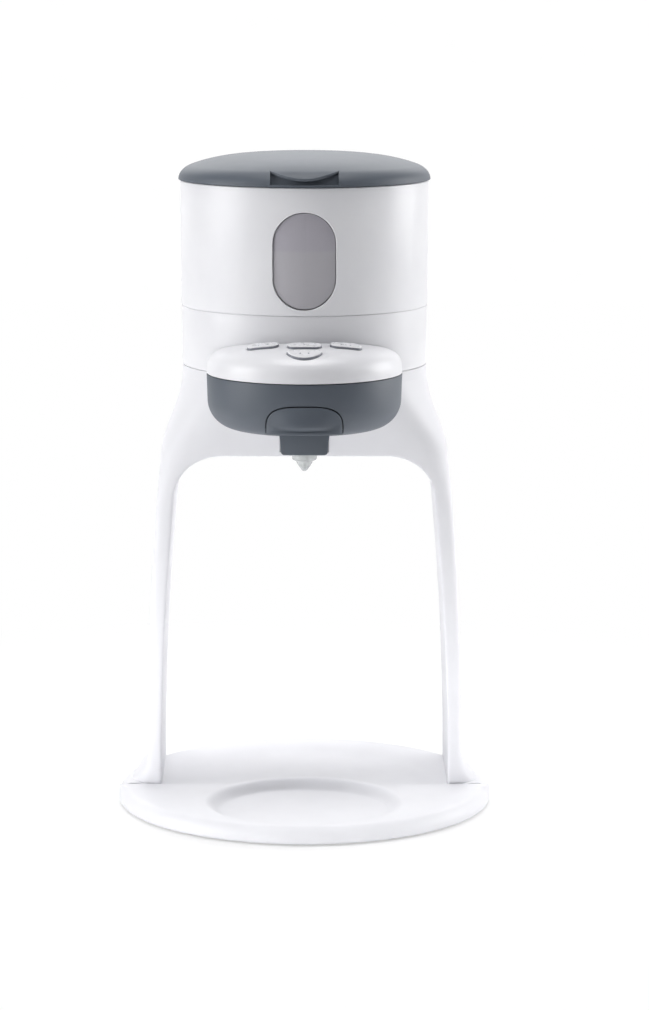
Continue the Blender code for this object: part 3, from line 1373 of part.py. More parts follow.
def make_lid():
    origin = joint_origin("lid_hinge_origin", (0, HINGE_Y, HINGE_Z))
    outer = lid_profile(8)
    hollow_top = LID_RIM_TOP - LID_WALL
    lid = turned(
        "tank_lid",
        [
            *outer,
            (LID_HOLLOW_RADIUS, LID_BOTTOM),
            (LID_HOLLOW_RADIUS, hollow_top),
            (LID_HOLLOW_RADIUS / 2, LID_TOP - 2 * LID_WALL + TONGUE_WALL / 2),
            (0, LID_TOP - LID_WALL),
        ],
    )
    high = LID_TOP + OVERRUN
    cut(
        lid,
        block(
            "finger_notch",
            (-NOTCH_HALF_WIDTH, -LID_RADIUS - OVERRUN, LID_BOTTOM - OVERRUN),
            (NOTCH_HALF_WIDTH, NOTCH_REAR, high),
        ),
    )
    lift, wall = TONGUE_LIFT, TONGUE_WALL
    tongue = turned(
        "lid_tongue",
        [
            *[(r, z + lift) for r, z in outer],
            *[(max(r - wall, 0), z + lift - wall) for r, z in outer[::-1]],
        ],
    )
    tongue_y = TONGUE_FRONT + TONGUE_RADIUS
    disc_low, disc_high = (0, tongue_y, LID_BOTTOM), (0, tongue_y, high)
    keep_inside(tongue, rod("tongue_disc", disc_low, disc_high, TONGUE_RADIUS, steps=ROUND_STEPS))
    band_low = (-NOTCH_HALF_WIDTH - GAP, TONGUE_FRONT - OVERRUN, LID_BOTTOM)
    band_high = (NOTCH_HALF_WIDTH + GAP, NOTCH_REAR + OVERRUN, high)
    keep_inside(tongue, block("tongue_band", band_low, band_high))
    fuse(lid, tongue)
    knuckle = rod(
        "lid_knuckle",
        (-KNUCKLE_HALF_WIDTH, HINGE_Y, HINGE_Z),
        (KNUCKLE_HALF_WIDTH, HINGE_Y, HINGE_Z),
        HINGE_RADIUS,
    )
    web = block(
        "knuckle_web",
        (-KNUCKLE_HALF_WIDTH + GAP, LID_RIM_RADIUS, LID_BOTTOM + GAP),
        (KNUCKLE_HALF_WIDTH - GAP, HINGE_Y, HINGE_Z + HINGE_RADIUS / 2),
    )
    fuse(lid, knuckle, web)
    reach = KNUCKLE_HALF_WIDTH + OVERRUN
    hole = HINGE_PIN_RADIUS + GAP
    cut(lid, rod("knuckle_hole", (-reach, HINGE_Y, HINGE_Z), (reach, HINGE_Y, HINGE_Z), hole))
    return dress(lid, GREY, origin)


# Works in the neck: chassis, pump, heater, boards and hoses


def make_works():
    low = NECK_FLOOR + GAP
    deck = low + CHASSIS_THICKNESS
    outline = rounded_rectangle(CHASSIS_HALF_WIDTH, CHASSIS_FRONT, CHASSIS_REAR, CHASSIS_CORNER)
    dress(slab("chassis_plate", outline, low, deck), STEEL)
    foot = deck + GAP

    pump = rod("pump", (PUMP_X, PUMP_Y, foot), (PUMP_X, PUMP_Y, PUMP_TOP), PUMP_RADIUS, steps=MIDDLE_STEPS)
    inlet_low, inlet_high = (PUMP_X, PUMP_Y, PUMP_TOP - OVERRUN), (PUMP_X, PUMP_Y, PUMP_INLET_TOP)
    fuse(pump, rod("pump_inlet", inlet_low, inlet_high, PUMP_NIPPLE_RADIUS))
    outlet_end = PUMP_X + PUMP_RADIUS + PUMP_OUTLET_LENGTH
    outlet_low, outlet_high = (PUMP_X, PUMP_Y, PUMP_OUTLET_Z), (outlet_end, PUMP_Y, PUMP_OUTLET_Z)
    fuse(pump, rod("pump_outlet", outlet_low, outlet_high, PUMP_NIPPLE_RADIUS))
    dress(pump, BLACK)

    corner = (HEATER_RIGHT, HEATER_REAR, HEATER_TOP)
    heater = block("heater_block", (HEATER_LEFT, HEATER_FRONT, foot), corner)
    soften(heater, HEATER_CORNER)
    gaps = int((HEATER_RIGHT - HEATER_LEFT - HEATER_FIN_PITCH) / HEATER_FIN_PITCH)
    for number in range(gaps):
        x = HEATER_LEFT + HEATER_FIN_PITCH * (number + 1) - HEATER_FIN_GAP / 2
        low_corner = (x, HEATER_FRONT - OVERRUN, HEATER_TOP - HEATER_FIN_DEPTH)
        high_corner = (x + HEATER_FIN_GAP, HEATER_REAR + OVERRUN, HEATER_TOP + OVERRUN)
        cut(heater, block(f"fin_gap_{number}", low_corner, high_corner))
    outlet_y = HEATER_FRONT - HEATER_OUTLET_LENGTH
    spout = rod(
        "heater_outlet",
        (HEATER_OUTLET_X, HEATER_FRONT + OVERRUN, PUMP_OUTLET_Z),
        (HEATER_OUTLET_X, outlet_y, PUMP_OUTLET_Z),
        PUMP_NIPPLE_RADIUS,
    )
    fuse(heater, spout)
    dress(heater, ALUMINIUM)

    hose_low = (PUMP_X, PUMP_Y, PUMP_INLET_TOP + GAP)
    hose_high = (PUMP_X, PUMP_Y, SOCKET_BOTTOM - SOCKET_NIPPLE_LENGTH - GAP)
    dress(rod("inlet_hose", hose_low, hose_high, HOSE_RADIUS), CLEAR_SILICONE)
    pump_hose = rod(
        "pump_hose",
        (outlet_end + GAP, PUMP_Y, PUMP_OUTLET_Z),
        (HEATER_LEFT - GAP, PUMP_Y, PUMP_OUTLET_Z),
        HOSE_RADIUS,
    )
    dress(pump_hose, CLEAR_SILICONE)
    start = Vector((HEATER_OUTLET_X, outlet_y - GAP, PUMP_OUTLET_Z))
    end = Vector((0, ELBOW_PIPE_REAR + GAP, ELBOW_PIPE_Z))
    ahead = Vector((0, -HOSE_RADIUS, 0))
    route = [start, start + ahead / 2, start + ahead, (start + end) / 2, end - ahead, end - ahead / 2, end]
    outlet_hose = tube("outlet_hose", route, HOSE_RADIUS, OUTLET_HOSE_POINTS)
    dress(outlet_hose, CLEAR_SILICONE)

    half = POWER_BOARD_HALF_WIDTH
    high_corner = (half, POWER_BOARD_Y + BOARD_THICKNESS, POWER_BOARD_TOP)
    dress(block("power_board", (-half, POWER_BOARD_Y, foot), high_corner), BOARD_GREEN)


def main():
    make_stand()
    make_foot()
    make_tray()
    make_housing()
    make_gland()
    make_cup()
    make_cap()
    make_board()
    make_keys()
    make_spout()
    make_elbow()
    make_socket()
    make_tank()
    make_lid()
    make_works()


main()
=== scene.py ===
"""Dressed model of a countertop bottle warmer on a two-legged stand.

Lengths are in millimetres in the classes and become metres where a mesh is made. +Z is up,
the front faces -Y, and the origin is the middle of the round foot on the table.
"""

import sys  # noqa: E702
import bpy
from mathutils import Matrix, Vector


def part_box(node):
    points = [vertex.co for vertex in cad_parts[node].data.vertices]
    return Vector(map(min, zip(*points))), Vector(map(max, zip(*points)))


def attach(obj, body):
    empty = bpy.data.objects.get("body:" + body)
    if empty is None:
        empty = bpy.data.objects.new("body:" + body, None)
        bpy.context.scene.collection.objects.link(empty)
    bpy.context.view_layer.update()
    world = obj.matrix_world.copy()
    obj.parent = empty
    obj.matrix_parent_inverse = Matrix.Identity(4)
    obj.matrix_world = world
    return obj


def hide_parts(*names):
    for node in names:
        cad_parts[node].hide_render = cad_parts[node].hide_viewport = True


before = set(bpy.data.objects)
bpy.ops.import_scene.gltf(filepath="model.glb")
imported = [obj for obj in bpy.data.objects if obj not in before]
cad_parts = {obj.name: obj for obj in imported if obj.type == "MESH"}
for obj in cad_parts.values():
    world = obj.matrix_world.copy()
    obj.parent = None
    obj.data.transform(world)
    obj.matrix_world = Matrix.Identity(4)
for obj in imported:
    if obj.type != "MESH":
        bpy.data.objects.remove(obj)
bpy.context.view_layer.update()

import logging
from dataclasses import dataclass
from enum import Enum
from typing import Sequence

import bmesh
import bpy
import numpy as np
from mathutils import Vector

MM = 0.001
LOG = logging.getLogger("bottle_warmer")
# Where most of a noise texture's values lie.
NOISE_SPAN = (0.3, 0.7)


# Meshes


class Side(Enum):
    """The two sides of the object, as the sign of X."""

    LEFT = -1
    RIGHT = 1


class View(Enum):
    """How an outline is seen: the axes that take its two numbers, and the axis of its depth."""

    ABOVE = (0, 1, 2)
    FRONT = (0, 2, 1)
    SIDE = (1, 2, 0)


def grid_quads(rows: int, columns: int) -> np.ndarray:
    """Corner numbers of the quads of a grid of points whose rows close on themselves.

    Quad (i, j) joins point (i, j) with its neighbours in the next row and the next column.

    Args:
        rows: Number of rows.
        columns: Number of points in a row.

    Returns:
        An array of four corner numbers a quad.
    """
    i = np.arange(rows - 1)[:, None] * columns
    j = np.arange(columns)[None, :]
    after = (j + 1) % columns
    return np.stack([i + j, i + after, i + columns + after, i + columns + j], -1).reshape(-1, 4)


def new_object(name: str, points: np.ndarray, faces: list[list[int]]) -> bpy.types.Object:
    """A mesh object from points in millimetres, its doubles merged and its faces turned outwards.

    Args:
        name: Name of the piece.
        points: Array of points, three numbers along its last axis.
        faces: Corner numbers of each face.

    Returns:
        The object, at the origin.
    """
    mesh = bpy.data.meshes.new(name)
    mesh.from_pydata((points.reshape(-1, 3) * MM).tolist(), [], faces)
    work = bmesh.new()
    work.from_mesh(mesh)
    bmesh.ops.remove_doubles(work, verts=work.verts, dist=2e-6)
    bmesh.ops.dissolve_degenerate(work, edges=work.edges, dist=1e-7)
    bmesh.ops.recalc_face_normals(work, faces=work.faces)
    work.to_mesh(mesh)
    work.free()
    made = bpy.data.objects.new(name, mesh)
    bpy.context.scene.collection.objects.link(made)
    return made


def loop_tube(name: str, loops: np.ndarray, closed: bool = False) -> bpy.types.Object:
    """A skin through closed loops of points, with flat ends unless the loops close on themselves.

    Args:
        name: Name of the piece.
        loops: Array of loops by points by three.
        closed: Whether the last loop joins the first.

    Returns:
        The object.
    """
    rows, columns = loops.shape[:2]
    if closed:
        loops = np.concatenate([loops, loops[:1]])
        return new_object(name, loops, grid_quads(rows + 1, columns).tolist())
    faces = grid_quads(rows, columns).tolist()
    faces.append(list(range(columns)))
    faces.append(list(range((rows - 1) * columns, rows * columns)))
    return new_object(name, loops, faces)


def revolve(
    name: str,
    profile: Sequence[Sequence[float]],
    steps: int,
    centre: tuple[float, float] = (0.0, 0.0),
    ring: bool = False,
) -> bpy.types.Object:
    """A turned piece: each point of the profile goes round an upright axis.

    Point (radius, height) at turn t lands on centre + radius * (cos t, sin t), at its height.

    Args:
        name: Name of the piece.
        profile: (radius, height) pairs along the section.
        steps: Points round the axis.
        centre: Where the axis stands.
        ring: Whether the section closes on itself instead of meeting the axis.

    Returns:
        The object.
    """
    section = np.asarray(profile, float)
    turn = np.linspace(0, 2 * np.pi, steps, endpoint=False)
    x = centre[0] + section[:, :1] * np.cos(turn)
    y = centre[1] + section[:, :1] * np.sin(turn)
    z = np.broadcast_to(section[:, 1:], x.shape)
    points = np.stack([x, y, z], -1)
    if ring:
        points = np.concatenate([points, points[:1]])
    return new_object(name, points, grid_quads(len(points), steps).tolist())


def drum(
    name: str,
    radius: float,
    low: float,
    high: float,
    steps: int,
    centre: tuple[float, float] = (0.0, 0.0),
) -> bpy.types.Object:
    """A plain upright cylinder, used to cut another piece.

    Args:
        name: Name of the piece.
        radius: Its radius.
        low: Height of its bottom.
        high: Height of its top.
        steps: Points round it.
        centre: Where its axis stands.

    Returns:
        The object.
    """
    return revolve(name, [(0, low), (radius, low), (radius, high), (0, high)], steps, centre)


def curve_between(a: np.ndarray, corner: np.ndarray, b: np.ndarray, t: np.ndarray) -> np.ndarray:
    """The rounding from a to b about a corner c: (1-t)^2 a + 2t(1-t) c + t^2 b."""
    return (1 - t) ** 2 * a + 2 * t * (1 - t) * corner + t**2 * b


def rounded_profile(
    corners: Sequence[tuple[float, float, float]], closed: bool = False, steps: int = 5
) -> np.ndarray:
    """A section whose corners are rounded by a curve that starts and ends one radius from each.

    A radius is never more than 0.49 of the shorter side at its corner.

    Args:
        corners: (first, second, radius) of each corner.
        closed: Whether the outline closes on itself; the ends of an open one stay sharp.
        steps: Points on each rounding.

    Returns:
        An array of (first, second) pairs.
    """
    places = np.array([c[:2] for c in corners], float)
    t = np.linspace(0, 1, steps)[:, None]
    out = []
    for i, (_, _, radius) in enumerate(corners):
        here = places[i]
        if radius <= 0 or (not closed and i in (0, len(corners) - 1)):
            out.append(here[None])
            continue
        before, after = places[i - 1] - here, places[(i + 1) % len(places)] - here
        near = min(radius, 0.49 * np.hypot(*before), 0.49 * np.hypot(*after))
        start = here + before / np.hypot(*before) * near
        end = here + after / np.hypot(*after) * near
        out.append(curve_between(start, here, end, t))
    return np.concatenate(out)


def arc(
    centre: tuple[float, float], radii: tuple[float, float], start: float, end: float, steps: int
) -> np.ndarray:
    """Points on an ellipse: centre + (a cos t, b sin t), t from start to end in degrees.

    Args:
        centre: Middle of the ellipse.
        radii: Its two half axes, a and b.
        start: First angle.
        end: Last angle.
        steps: Number of steps between them.

    Returns:
        An array of pairs.
    """
    t = np.radians(np.linspace(start, end, steps + 1))
    return np.stack([centre[0] + radii[0] * np.cos(t), centre[1] + radii[1] * np.sin(t)], -1)


def slot_outline(low: float, high: float, half: float) -> np.ndarray:
    """An upright slot: a half circle about the height high over one about the height low."""
    ends = ((high, 0, 180), (low, 180, 360))
    return np.concatenate([arc((0, z), (half, half), start, end, 40) for z, start, end in ends])


def smooth_step(share: np.ndarray) -> np.ndarray:
    """A soft S from 0 to 1: 3 s^2 - 2 s^3 of the clipped share."""
    s = np.clip(share, 0, 1)
    return s * s * (3 - 2 * s)


def rows_between(inner: np.ndarray, outer: np.ndarray, shares: np.ndarray) -> np.ndarray:
    """Rows between two curves: inner + (outer - inner) * share, one row for each share."""
    return inner + (outer - inner) * shares[:, None]


def fallen(z: np.ndarray, top: float, fall: float) -> np.ndarray:
    """How far down from a top a height is, as a share of a fall and from 0 to 1."""
    return np.clip((top - z) / fall, 0, 1)


def drawn_in(outline: np.ndarray, middle: np.ndarray, inset: float) -> np.ndarray:
    """An outline whose points have each moved towards its middle by an inset, seen flat."""
    way = outline - middle
    return middle + way * (1 - inset / np.hypot(way[..., 0], way[..., 1])[..., None])


def even_paths(paths: np.ndarray, count: int, start: float) -> np.ndarray:
    """Paths with their points spread by length and bend, so that corners get more of them.

    The running measure of a path is its length plus 12 mm for each radian that it turns; the
    points stand at equal steps of it, from the place that lies start millimetres along.

    Args:
        paths: Array of paths by points by three.
        count: Points of each new path.
        start: Length left out at the beginning, in millimetres.

    Returns:
        Array of paths by count by three.
    """
    per_radian = 12.0
    step = np.diff(paths, axis=1)
    length = np.maximum(np.linalg.norm(step, axis=2), 1e-9)
    ahead = step / length[..., None]
    cosine = np.clip(np.sum(ahead[:, 1:] * ahead[:, :-1], axis=2), -1, 1)
    zero = np.zeros((len(paths), 1))
    bend = np.concatenate([zero, np.arccos(cosine)], 1)
    run = np.concatenate([zero, np.cumsum(length, 1)], 1)
    measure = np.concatenate([zero, np.cumsum(length + per_radian * bend, 1)], 1)
    made = np.empty((len(paths), count, 3))
    for i, path in enumerate(paths):
        first = np.interp(min(start, 0.5 * run[i, -1]), run[i], measure[i])
        places = np.linspace(first, measure[i, -1], count)
        made[i] = np.stack([np.interp(places, measure[i], line) for line in path.T], -1)
    return made


def laid(outline: np.ndarray, depth: float | np.ndarray, view: View) -> np.ndarray:
    """Flat points laid out in space.

    Args:
        outline: Array whose last axis is pairs of numbers.
        depth: Their place along the view's third axis, one for all or one for each.
        view: How the outline is seen.

    Returns:
        The points, with three numbers along the last axis.
    """
    first, second, third = view.value
    points = np.empty((*outline.shape[:-1], 3))
    points[..., first], points[..., second] = outline[..., 0], outline[..., 1]
    points[..., third] = depth
    return points


def prism(name: str, outline: np.ndarray, low: float, high: float, view: View) -> bpy.types.Object:
    """A straight prism over a flat outline.

    Args:
        name: Name of the piece.
        outline: Pairs of numbers.
        low: Where it starts along the view's third axis.
        high: Where it ends.
        view: How the outline is seen.

    Returns:
        The object.
    """
    return loop_tube(name, np.array([laid(outline, low, view), laid(outline, high, view)]))


def block(name: str, low: Sequence[float], high: Sequence[float]) -> bpy.types.Object:
    """A box between two corners, used to cut another piece."""
    corners = [(low[0], low[1]), (high[0], low[1]), (high[0], high[1]), (low[0], high[1])]
    return prism(name, np.array(corners, float), low[2], high[2], View.ABOVE)


def settle(piece: bpy.types.Object) -> None:
    """Replaces a piece's mesh by its evaluated shape and drops the modifiers.

    Args:
        piece: The piece.
    """
    bpy.context.view_layer.update()
    graph = bpy.context.evaluated_depsgraph_get()
    mesh = bpy.data.meshes.new_from_object(piece.evaluated_get(graph))
    mesh.name = piece.name
    piece.modifiers.clear()
    piece.data = mesh


def carve(piece: bpy.types.Object, *cutters: bpy.types.Object, keep: bool = False) -> None:
    """Cuts other closed pieces out of one, or keeps only what lies in them, and removes them.

    Args:
        piece: What is cut.
        cutters: What cuts it.
        keep: Whether to keep the inside of the cutters instead.
    """
    for cutter in cutters:
        step = piece.modifiers.new("carve", "BOOLEAN")
        step.operation = "INTERSECT" if keep else "DIFFERENCE"
        step.solver = "EXACT"
        step.object = cutter
        settle(piece)
        bpy.data.objects.remove(cutter, do_unlink=True)


def round_edges(piece: bpy.types.Object, width: float) -> None:
    """Rounds the edges of a piece that turn by more than 40 degrees.

    Args:
        piece: The piece.
        width: Width of the rounding in millimetres.
    """
    step = piece.modifiers.new("round", "BEVEL")
    step.width = width * MM
    step.segments = 3
    step.limit_method = "ANGLE"
    step.angle_limit = np.radians(40.0)
    settle(piece)


def dress(
    piece: bpy.types.Object,
    material: bpy.types.Material,
    body: str,
    node: str,
    sharp: float = 35.0,
) -> None:
    """Gives a finished piece its material and smooth shading and lets it ride on its body.

    Args:
        piece: The piece.
        material: What it is made of.
        body: The moving body that carries it.
        node: The solid that it stands for.
        sharp: Edges that turn by more than this stay sharp, in degrees.
    """
    piece.data.materials.clear()
    piece.data.materials.append(material)
    piece.data.shade_smooth()
    piece.data.set_sharp_from_angle(angle=np.radians(sharp))
    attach(piece, body)
    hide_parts(node)
    LOG.info("%s: %d faces on %s", piece.name, len(piece.data.polygons), body)


# Materials


def linear(colour: str) -> tuple[float, float, float, float]:
    """An sRGB hex colour as linear light.

    Below 0.04045 a channel c is divided by 12.92, and above it is ((c + 0.055) / 1.055)^2.4.

    Args:
        colour: Six hex digits after a hash.

    Returns:
        Red, green, blue and a full alpha.
    """
    c = np.array([int(colour[i : i + 2], 16) / 255 for i in (1, 3, 5)])
    light = np.where(c <= 0.04045, c / 12.92, ((c + 0.055) / 1.055) ** 2.4)
    return (*light.tolist(), 1.0)


def feed(node: bpy.types.Node, inputs: dict) -> None:
    """Sets a node's inputs: an output socket is joined to one, and any other value is written.

    Args:
        node: The node.
        inputs: Input name or number to its socket or value.
    """
    for key, value in inputs.items():
        if isinstance(value, bpy.types.NodeSocket):
            node.id_data.links.new(value, node.inputs[key])
        else:
            node.inputs[key].default_value = value


def add_node(
    tree: bpy.types.NodeTree, kind: str, inputs: dict | None = None, **settings: object
) -> bpy.types.Node:
    """Adds a node, sets it up and joins it.

    Args:
        tree: The material's or the world's tree.
        kind: Node type, such as ShaderNodeTexNoise.
        inputs: Values of its inputs, or the output sockets that feed them.
        settings: The node's own properties.

    Returns:
        The node.
    """
    node = tree.nodes.new(kind)
    for key, value in settings.items():
        setattr(node, key, value)
    feed(node, inputs or {})
    return node


def new_material(name: str) -> tuple[bpy.types.Material, bpy.types.Node]:
    """A new material and its main shader.

    Args:
        name: Name of the material.

    Returns:
        The material and the shader's node.
    """
    material = bpy.data.materials.new(name)
    material.use_nodes = True
    return material, material.node_tree.nodes["Principled BSDF"]


def blotches(
    tree: bpy.types.NodeTree, size_mm: float, detail: float = 2.0
) -> bpy.types.NodeSocket:
    """Soft noise on the piece's own coordinates.

    Args:
        tree: The material's tree.
        size_mm: How large a blotch is, in millimetres.
        detail: How many finer layers lie in it.

    Returns:
        The noise, mostly from 0.3 to 0.7.
    """
    place = add_node(tree, "ShaderNodeTexCoord").outputs["Object"]
    inputs = {"Vector": place, "Scale": 1 / (size_mm * MM), "Detail": detail, "Roughness": 0.5}
    return add_node(tree, "ShaderNodeTexNoise", inputs).outputs["Fac"]


def tint(
    shader: bpy.types.Node,
    colour: str,
    shade: str,
    source: bpy.types.NodeSocket,
    span: tuple[float, float] = NOISE_SPAN,
) -> None:
    """Turns the shader's colour from one to another while a value goes over a span.

    Args:
        shader: The shader.
        colour: Colour at the span's start.
        shade: Colour at its end.
        source: The value over the surface.
        span: Start and end of the value's range.
    """
    tree = shader.id_data
    inputs = {"Value": source, "From Min": span[0], "From Max": span[1]}
    share = add_node(tree, "ShaderNodeMapRange", inputs).outputs[0]
    inputs = {0: share, 6: linear(colour), 7: linear(shade)}
    mixed = add_node(tree, "ShaderNodeMix", inputs, data_type="RGBA")
    feed(shader, {"Base Color": mixed.outputs[2]})


def texture(
    shader: bpy.types.Node,
    roughness: float,
    share: float,
    noise: bpy.types.NodeSocket,
    relief: bpy.types.NodeSocket | None = None,
    depth_mm: float = 0.0,
    strength: float = 0.5,
) -> None:
    """Lets the shader's roughness drift with noise and raises a fine relief.

    Args:
        shader: The shader.
        roughness: Roughness in the middle of its range.
        share: How far it drifts either way, as a share of itself.
        noise: The noise that it follows.
        relief: Noise that gives the relief its height.
        depth_mm: The relief's depth in millimetres.
        strength: How much of the relief shows.
    """
    tree = shader.id_data
    inputs = {"Value": noise, "From Min": NOISE_SPAN[0], "From Max": NOISE_SPAN[1]}
    inputs |= {"To Min": roughness * (1 - share), "To Max": roughness * (1 + share)}
    feed(shader, {"Roughness": add_node(tree, "ShaderNodeMapRange", inputs).outputs[0]})
    if relief is not None:
        inputs = {"Height": relief, "Strength": strength, "Distance": depth_mm * MM}
        feed(shader, {"Normal": add_node(tree, "ShaderNodeBump", inputs).outputs["Normal"]})


@dataclass(frozen=True)
class MouldedPlastic:
    """An opaque injection-moulded plastic, such as ABS.

    The eye gets an even colour, a sheen that is set by the mould's polish, a hardly visible flow
    mottle and a fine spark-eroded grain. The real grain is under 0.1 mm; it is drawn coarser so
    that it shows.
    """

    name: str
    colour: str
    shade: str
    roughness: float
    coat: float = 0.0
    coat_roughness: float = 0.1
    grain_mm: float = 0.35
    grain_depth_mm: float = 0.004
    mottle_mm: float = 28.0
    ior: float = 1.53
    polish: float = 0.06

    def material(self) -> bpy.types.Material:
        """Builds the material.

        Returns:
            The material.
        """
        made, shader = new_material(self.name)
        tree = made.node_tree
        tint(shader, self.colour, self.shade, blotches(tree, self.mottle_mm))
        polish, grain = blotches(tree, self.mottle_mm / 4), blotches(tree, self.grain_mm, 3.0)
        texture(shader, self.roughness, self.polish, polish, grain, self.grain_depth_mm, 0.6)
        sheen = {"Coat Weight": self.coat, "Coat Roughness": self.coat_roughness}
        feed(shader, {"IOR": self.ior, **sheen})
        return made


@dataclass(frozen=True)
class KeyPlastic:
    """A white key whose side walls are painted grey as shade, with small grey dots as its print."""

    name: str
    top: str = "#ECECEF"
    # Painted shade: this grey on the side walls stands in for the shadow in the key's gap.
    side: str = "#8A8D96"
    print_colour: str = "#8D929C"
    roughness: float = 0.28
    polish: float = 0.1
    polish_mm: float = 3.0
    ior: float = 1.53
    dot_mm: float = 0.45
    dot_soft: float = 0.15
    upright: float = 0.2
    level: float = 0.34

    def material(self, dots: Sequence[tuple[float, float]]) -> bpy.types.Material:
        """Builds the material.

        The colour turns from the grey of painted shade on the side walls to the white top where the
        surface turns upwards, and a dot is drawn where the distance to its place, seen from above,
        is under its radius.

        Args:
            dots: Places of the printed dots in X and Y, in millimetres.

        Returns:
            The material.
        """
        made, shader = new_material(self.name)
        tree = made.node_tree
        # Painted shade: where the surface faces away from up it takes the grey side colour.
        facing = add_node(tree, "ShaderNodeNewGeometry").outputs["True Normal"]
        up = add_node(tree, "ShaderNodeSeparateXYZ", {0: facing}).outputs["Z"]
        inputs = {"Value": up, "From Min": self.upright, "From Max": self.level}
        top = add_node(tree, "ShaderNodeMapRange", inputs).outputs[0]
        inputs = {0: top, 6: linear(self.side), 7: linear(self.top)}
        colour = add_node(tree, "ShaderNodeMix", inputs, data_type="RGBA").outputs[2]
        inputs = {0: add_node(tree, "ShaderNodeTexCoord").outputs["Object"], 1: (1.0, 1.0, 0.0)}
        flat = add_node(tree, "ShaderNodeVectorMath", inputs, operation="MULTIPLY").outputs[0]
        radius, soft = self.dot_mm * MM, self.dot_mm * MM * self.dot_soft
        edge = {"From Min": radius + soft, "From Max": radius - soft}
        for x, y in dots:
            inputs = {0: flat, 1: (x * MM, y * MM, 0.0)}
            far = add_node(tree, "ShaderNodeVectorMath", inputs, operation="DISTANCE")
            inside = add_node(tree, "ShaderNodeMapRange", {"Value": far.outputs["Value"], **edge})
            inputs = {0: inside.outputs[0], 1: top}
            shown = add_node(tree, "ShaderNodeMath", inputs, operation="MULTIPLY").outputs[0]
            inputs = {0: shown, 6: colour, 7: linear(self.print_colour)}
            colour = add_node(tree, "ShaderNodeMix", inputs, data_type="RGBA").outputs[2]
        texture(shader, self.roughness, self.polish, blotches(tree, self.polish_mm))
        feed(shader, {"Base Color": colour, "IOR": self.ior})
        return made


@dataclass(frozen=True)
class ClearPlastic:
    """A see-through plastic or silicone, frosted by its surface and slightly cloudy inside.

    With a level the colour turns to the shade below that height, where water stands behind the
    wall; without one it drifts between both.
    """

    name: str
    colour: str
    shade: str
    roughness: float
    see_through: float
    ior: float
    polish: float = 0.1
    frost_mm: float = 0.3
    frost_depth_mm: float = 0.006
    cloud_mm: float = 14.0
    level_mm: float = 0.0
    level_soft_mm: float = 0.8

    def material(self) -> bpy.types.Material:
        """Builds the material.

        Returns:
            The material.
        """
        made, shader = new_material(self.name)
        tree = made.node_tree
        if self.level_mm:
            place = add_node(tree, "ShaderNodeTexCoord").outputs["Object"]
            height = add_node(tree, "ShaderNodeSeparateXYZ", {0: place}).outputs["Z"]
            above, below = self.level_mm + self.level_soft_mm, self.level_mm - self.level_soft_mm
            tint(shader, self.colour, self.shade, height, (above * MM, below * MM))
        else:
            tint(shader, self.colour, self.shade, blotches(tree, self.cloud_mm))
        frost = blotches(tree, self.frost_mm, 4.0)
        texture(shader, self.roughness, self.polish, frost, frost, self.frost_depth_mm)
        feed(shader, {"Transmission Weight": self.see_through, "IOR": self.ior})
        return made


@dataclass(frozen=True)
class Metal:
    """A bare metal; its colour is its own reflection, and fine streaks roughen it."""

    name: str
    colour: str
    roughness: float
    streak_mm: float = 0.4
    streak_depth_mm: float = 0.006
    polish: float = 0.2

    def material(self) -> bpy.types.Material:
        """Builds the material.

        Returns:
            The material.
        """
        made, shader = new_material(self.name)
        streaks = blotches(made.node_tree, self.streak_mm, 3.0)
        texture(shader, self.roughness, self.polish, streaks, streaks, self.streak_depth_mm)
        feed(shader, {"Base Color": linear(self.colour), "Metallic": 1.0})
        return made


class Palette:
    """Every finish of the object, each built once."""

    def __init__(self) -> None:
        """Builds the materials."""
        # Gloss ABS from a polished mould: white, with wide soft highlights under a thin sheen.
        gloss = {"coat": 0.35, "coat_roughness": 0.27, "grain_depth_mm": 0.0008}
        self.shell = MouldedPlastic(
            "gloss_white_abs", "#EDEDF0", "#E9E9ED", 0.38, **gloss
        ).material()
        # Satin ABS from a lightly grained mould: white with broad soft highlights.
        self.stand = MouldedPlastic("satin_white_abs", "#E9E9ED", "#E6E6EA", 0.45).material()
        # Slate-grey ABS with a fine grain: a cool dark grey whose highlights spread wide.
        grain = {"grain_depth_mm": 0.008, "ior": 1.5, "polish": 0.015}
        self.slate = MouldedPlastic(
            "slate_grey_abs", "#59606A", "#575E67", 0.5, **grain
        ).material()
        # Frosted polypropylene: a milky lilac-grey that lets a little light through.
        self.frosted = ClearPlastic(
            "frosted_polypropylene", "#BAB7C0", "#BFBDC3", 0.5, 0.12, 1.49, level_mm=286.5
        ).material()
        # Clear silicone: soft, almost colourless, slightly cloudy.
        self.silicone = ClearPlastic(
            "clear_silicone", "#F2F4F4", "#ECEFEF", 0.22, 0.55, 1.41
        ).material()
        # Thermoplastic rubber: dark matt grey with no clear reflection.
        grain = {"grain_mm": 0.5, "grain_depth_mm": 0.02, "ior": 1.45}
        self.rubber = MouldedPlastic("grey_rubber", "#5B5C60", "#56575B", 0.78, **grain).material()
        # Glass-filled nylon: near-black, dull, faintly flecked by its fibres.
        grain = {"grain_mm": 0.6, "grain_depth_mm": 0.012, "mottle_mm": 6.0}
        self.nylon = MouldedPlastic("black_nylon", "#26272A", "#2C2D30", 0.5, **grain).material()
        # Zinc-plated steel: bright grey metal with short random streaks.
        self.zinc = Metal("zinc_plated_steel", "#C8C9CC", 0.34).material()
        # Cast aluminium: pale grey metal with a pebbled skin.
        self.aluminium = Metal("cast_aluminium", "#C4C5C7", 0.48, 0.8, 0.03).material()
        # Powder-coated steel sheet: light grey paint with a faint orange peel.
        grain = {"grain_mm": 1.2, "grain_depth_mm": 0.02}
        self.paint = MouldedPlastic(
            "powder_coated_steel", "#D2D3D6", "#CDCED1", 0.5, **grain
        ).material()
        # Solder-masked circuit board: satin green laminate.
        self.board = MouldedPlastic(
            "circuit_board", "#1F6B3C", "#1B6036", 0.4, mottle_mm=4.0
        ).material()


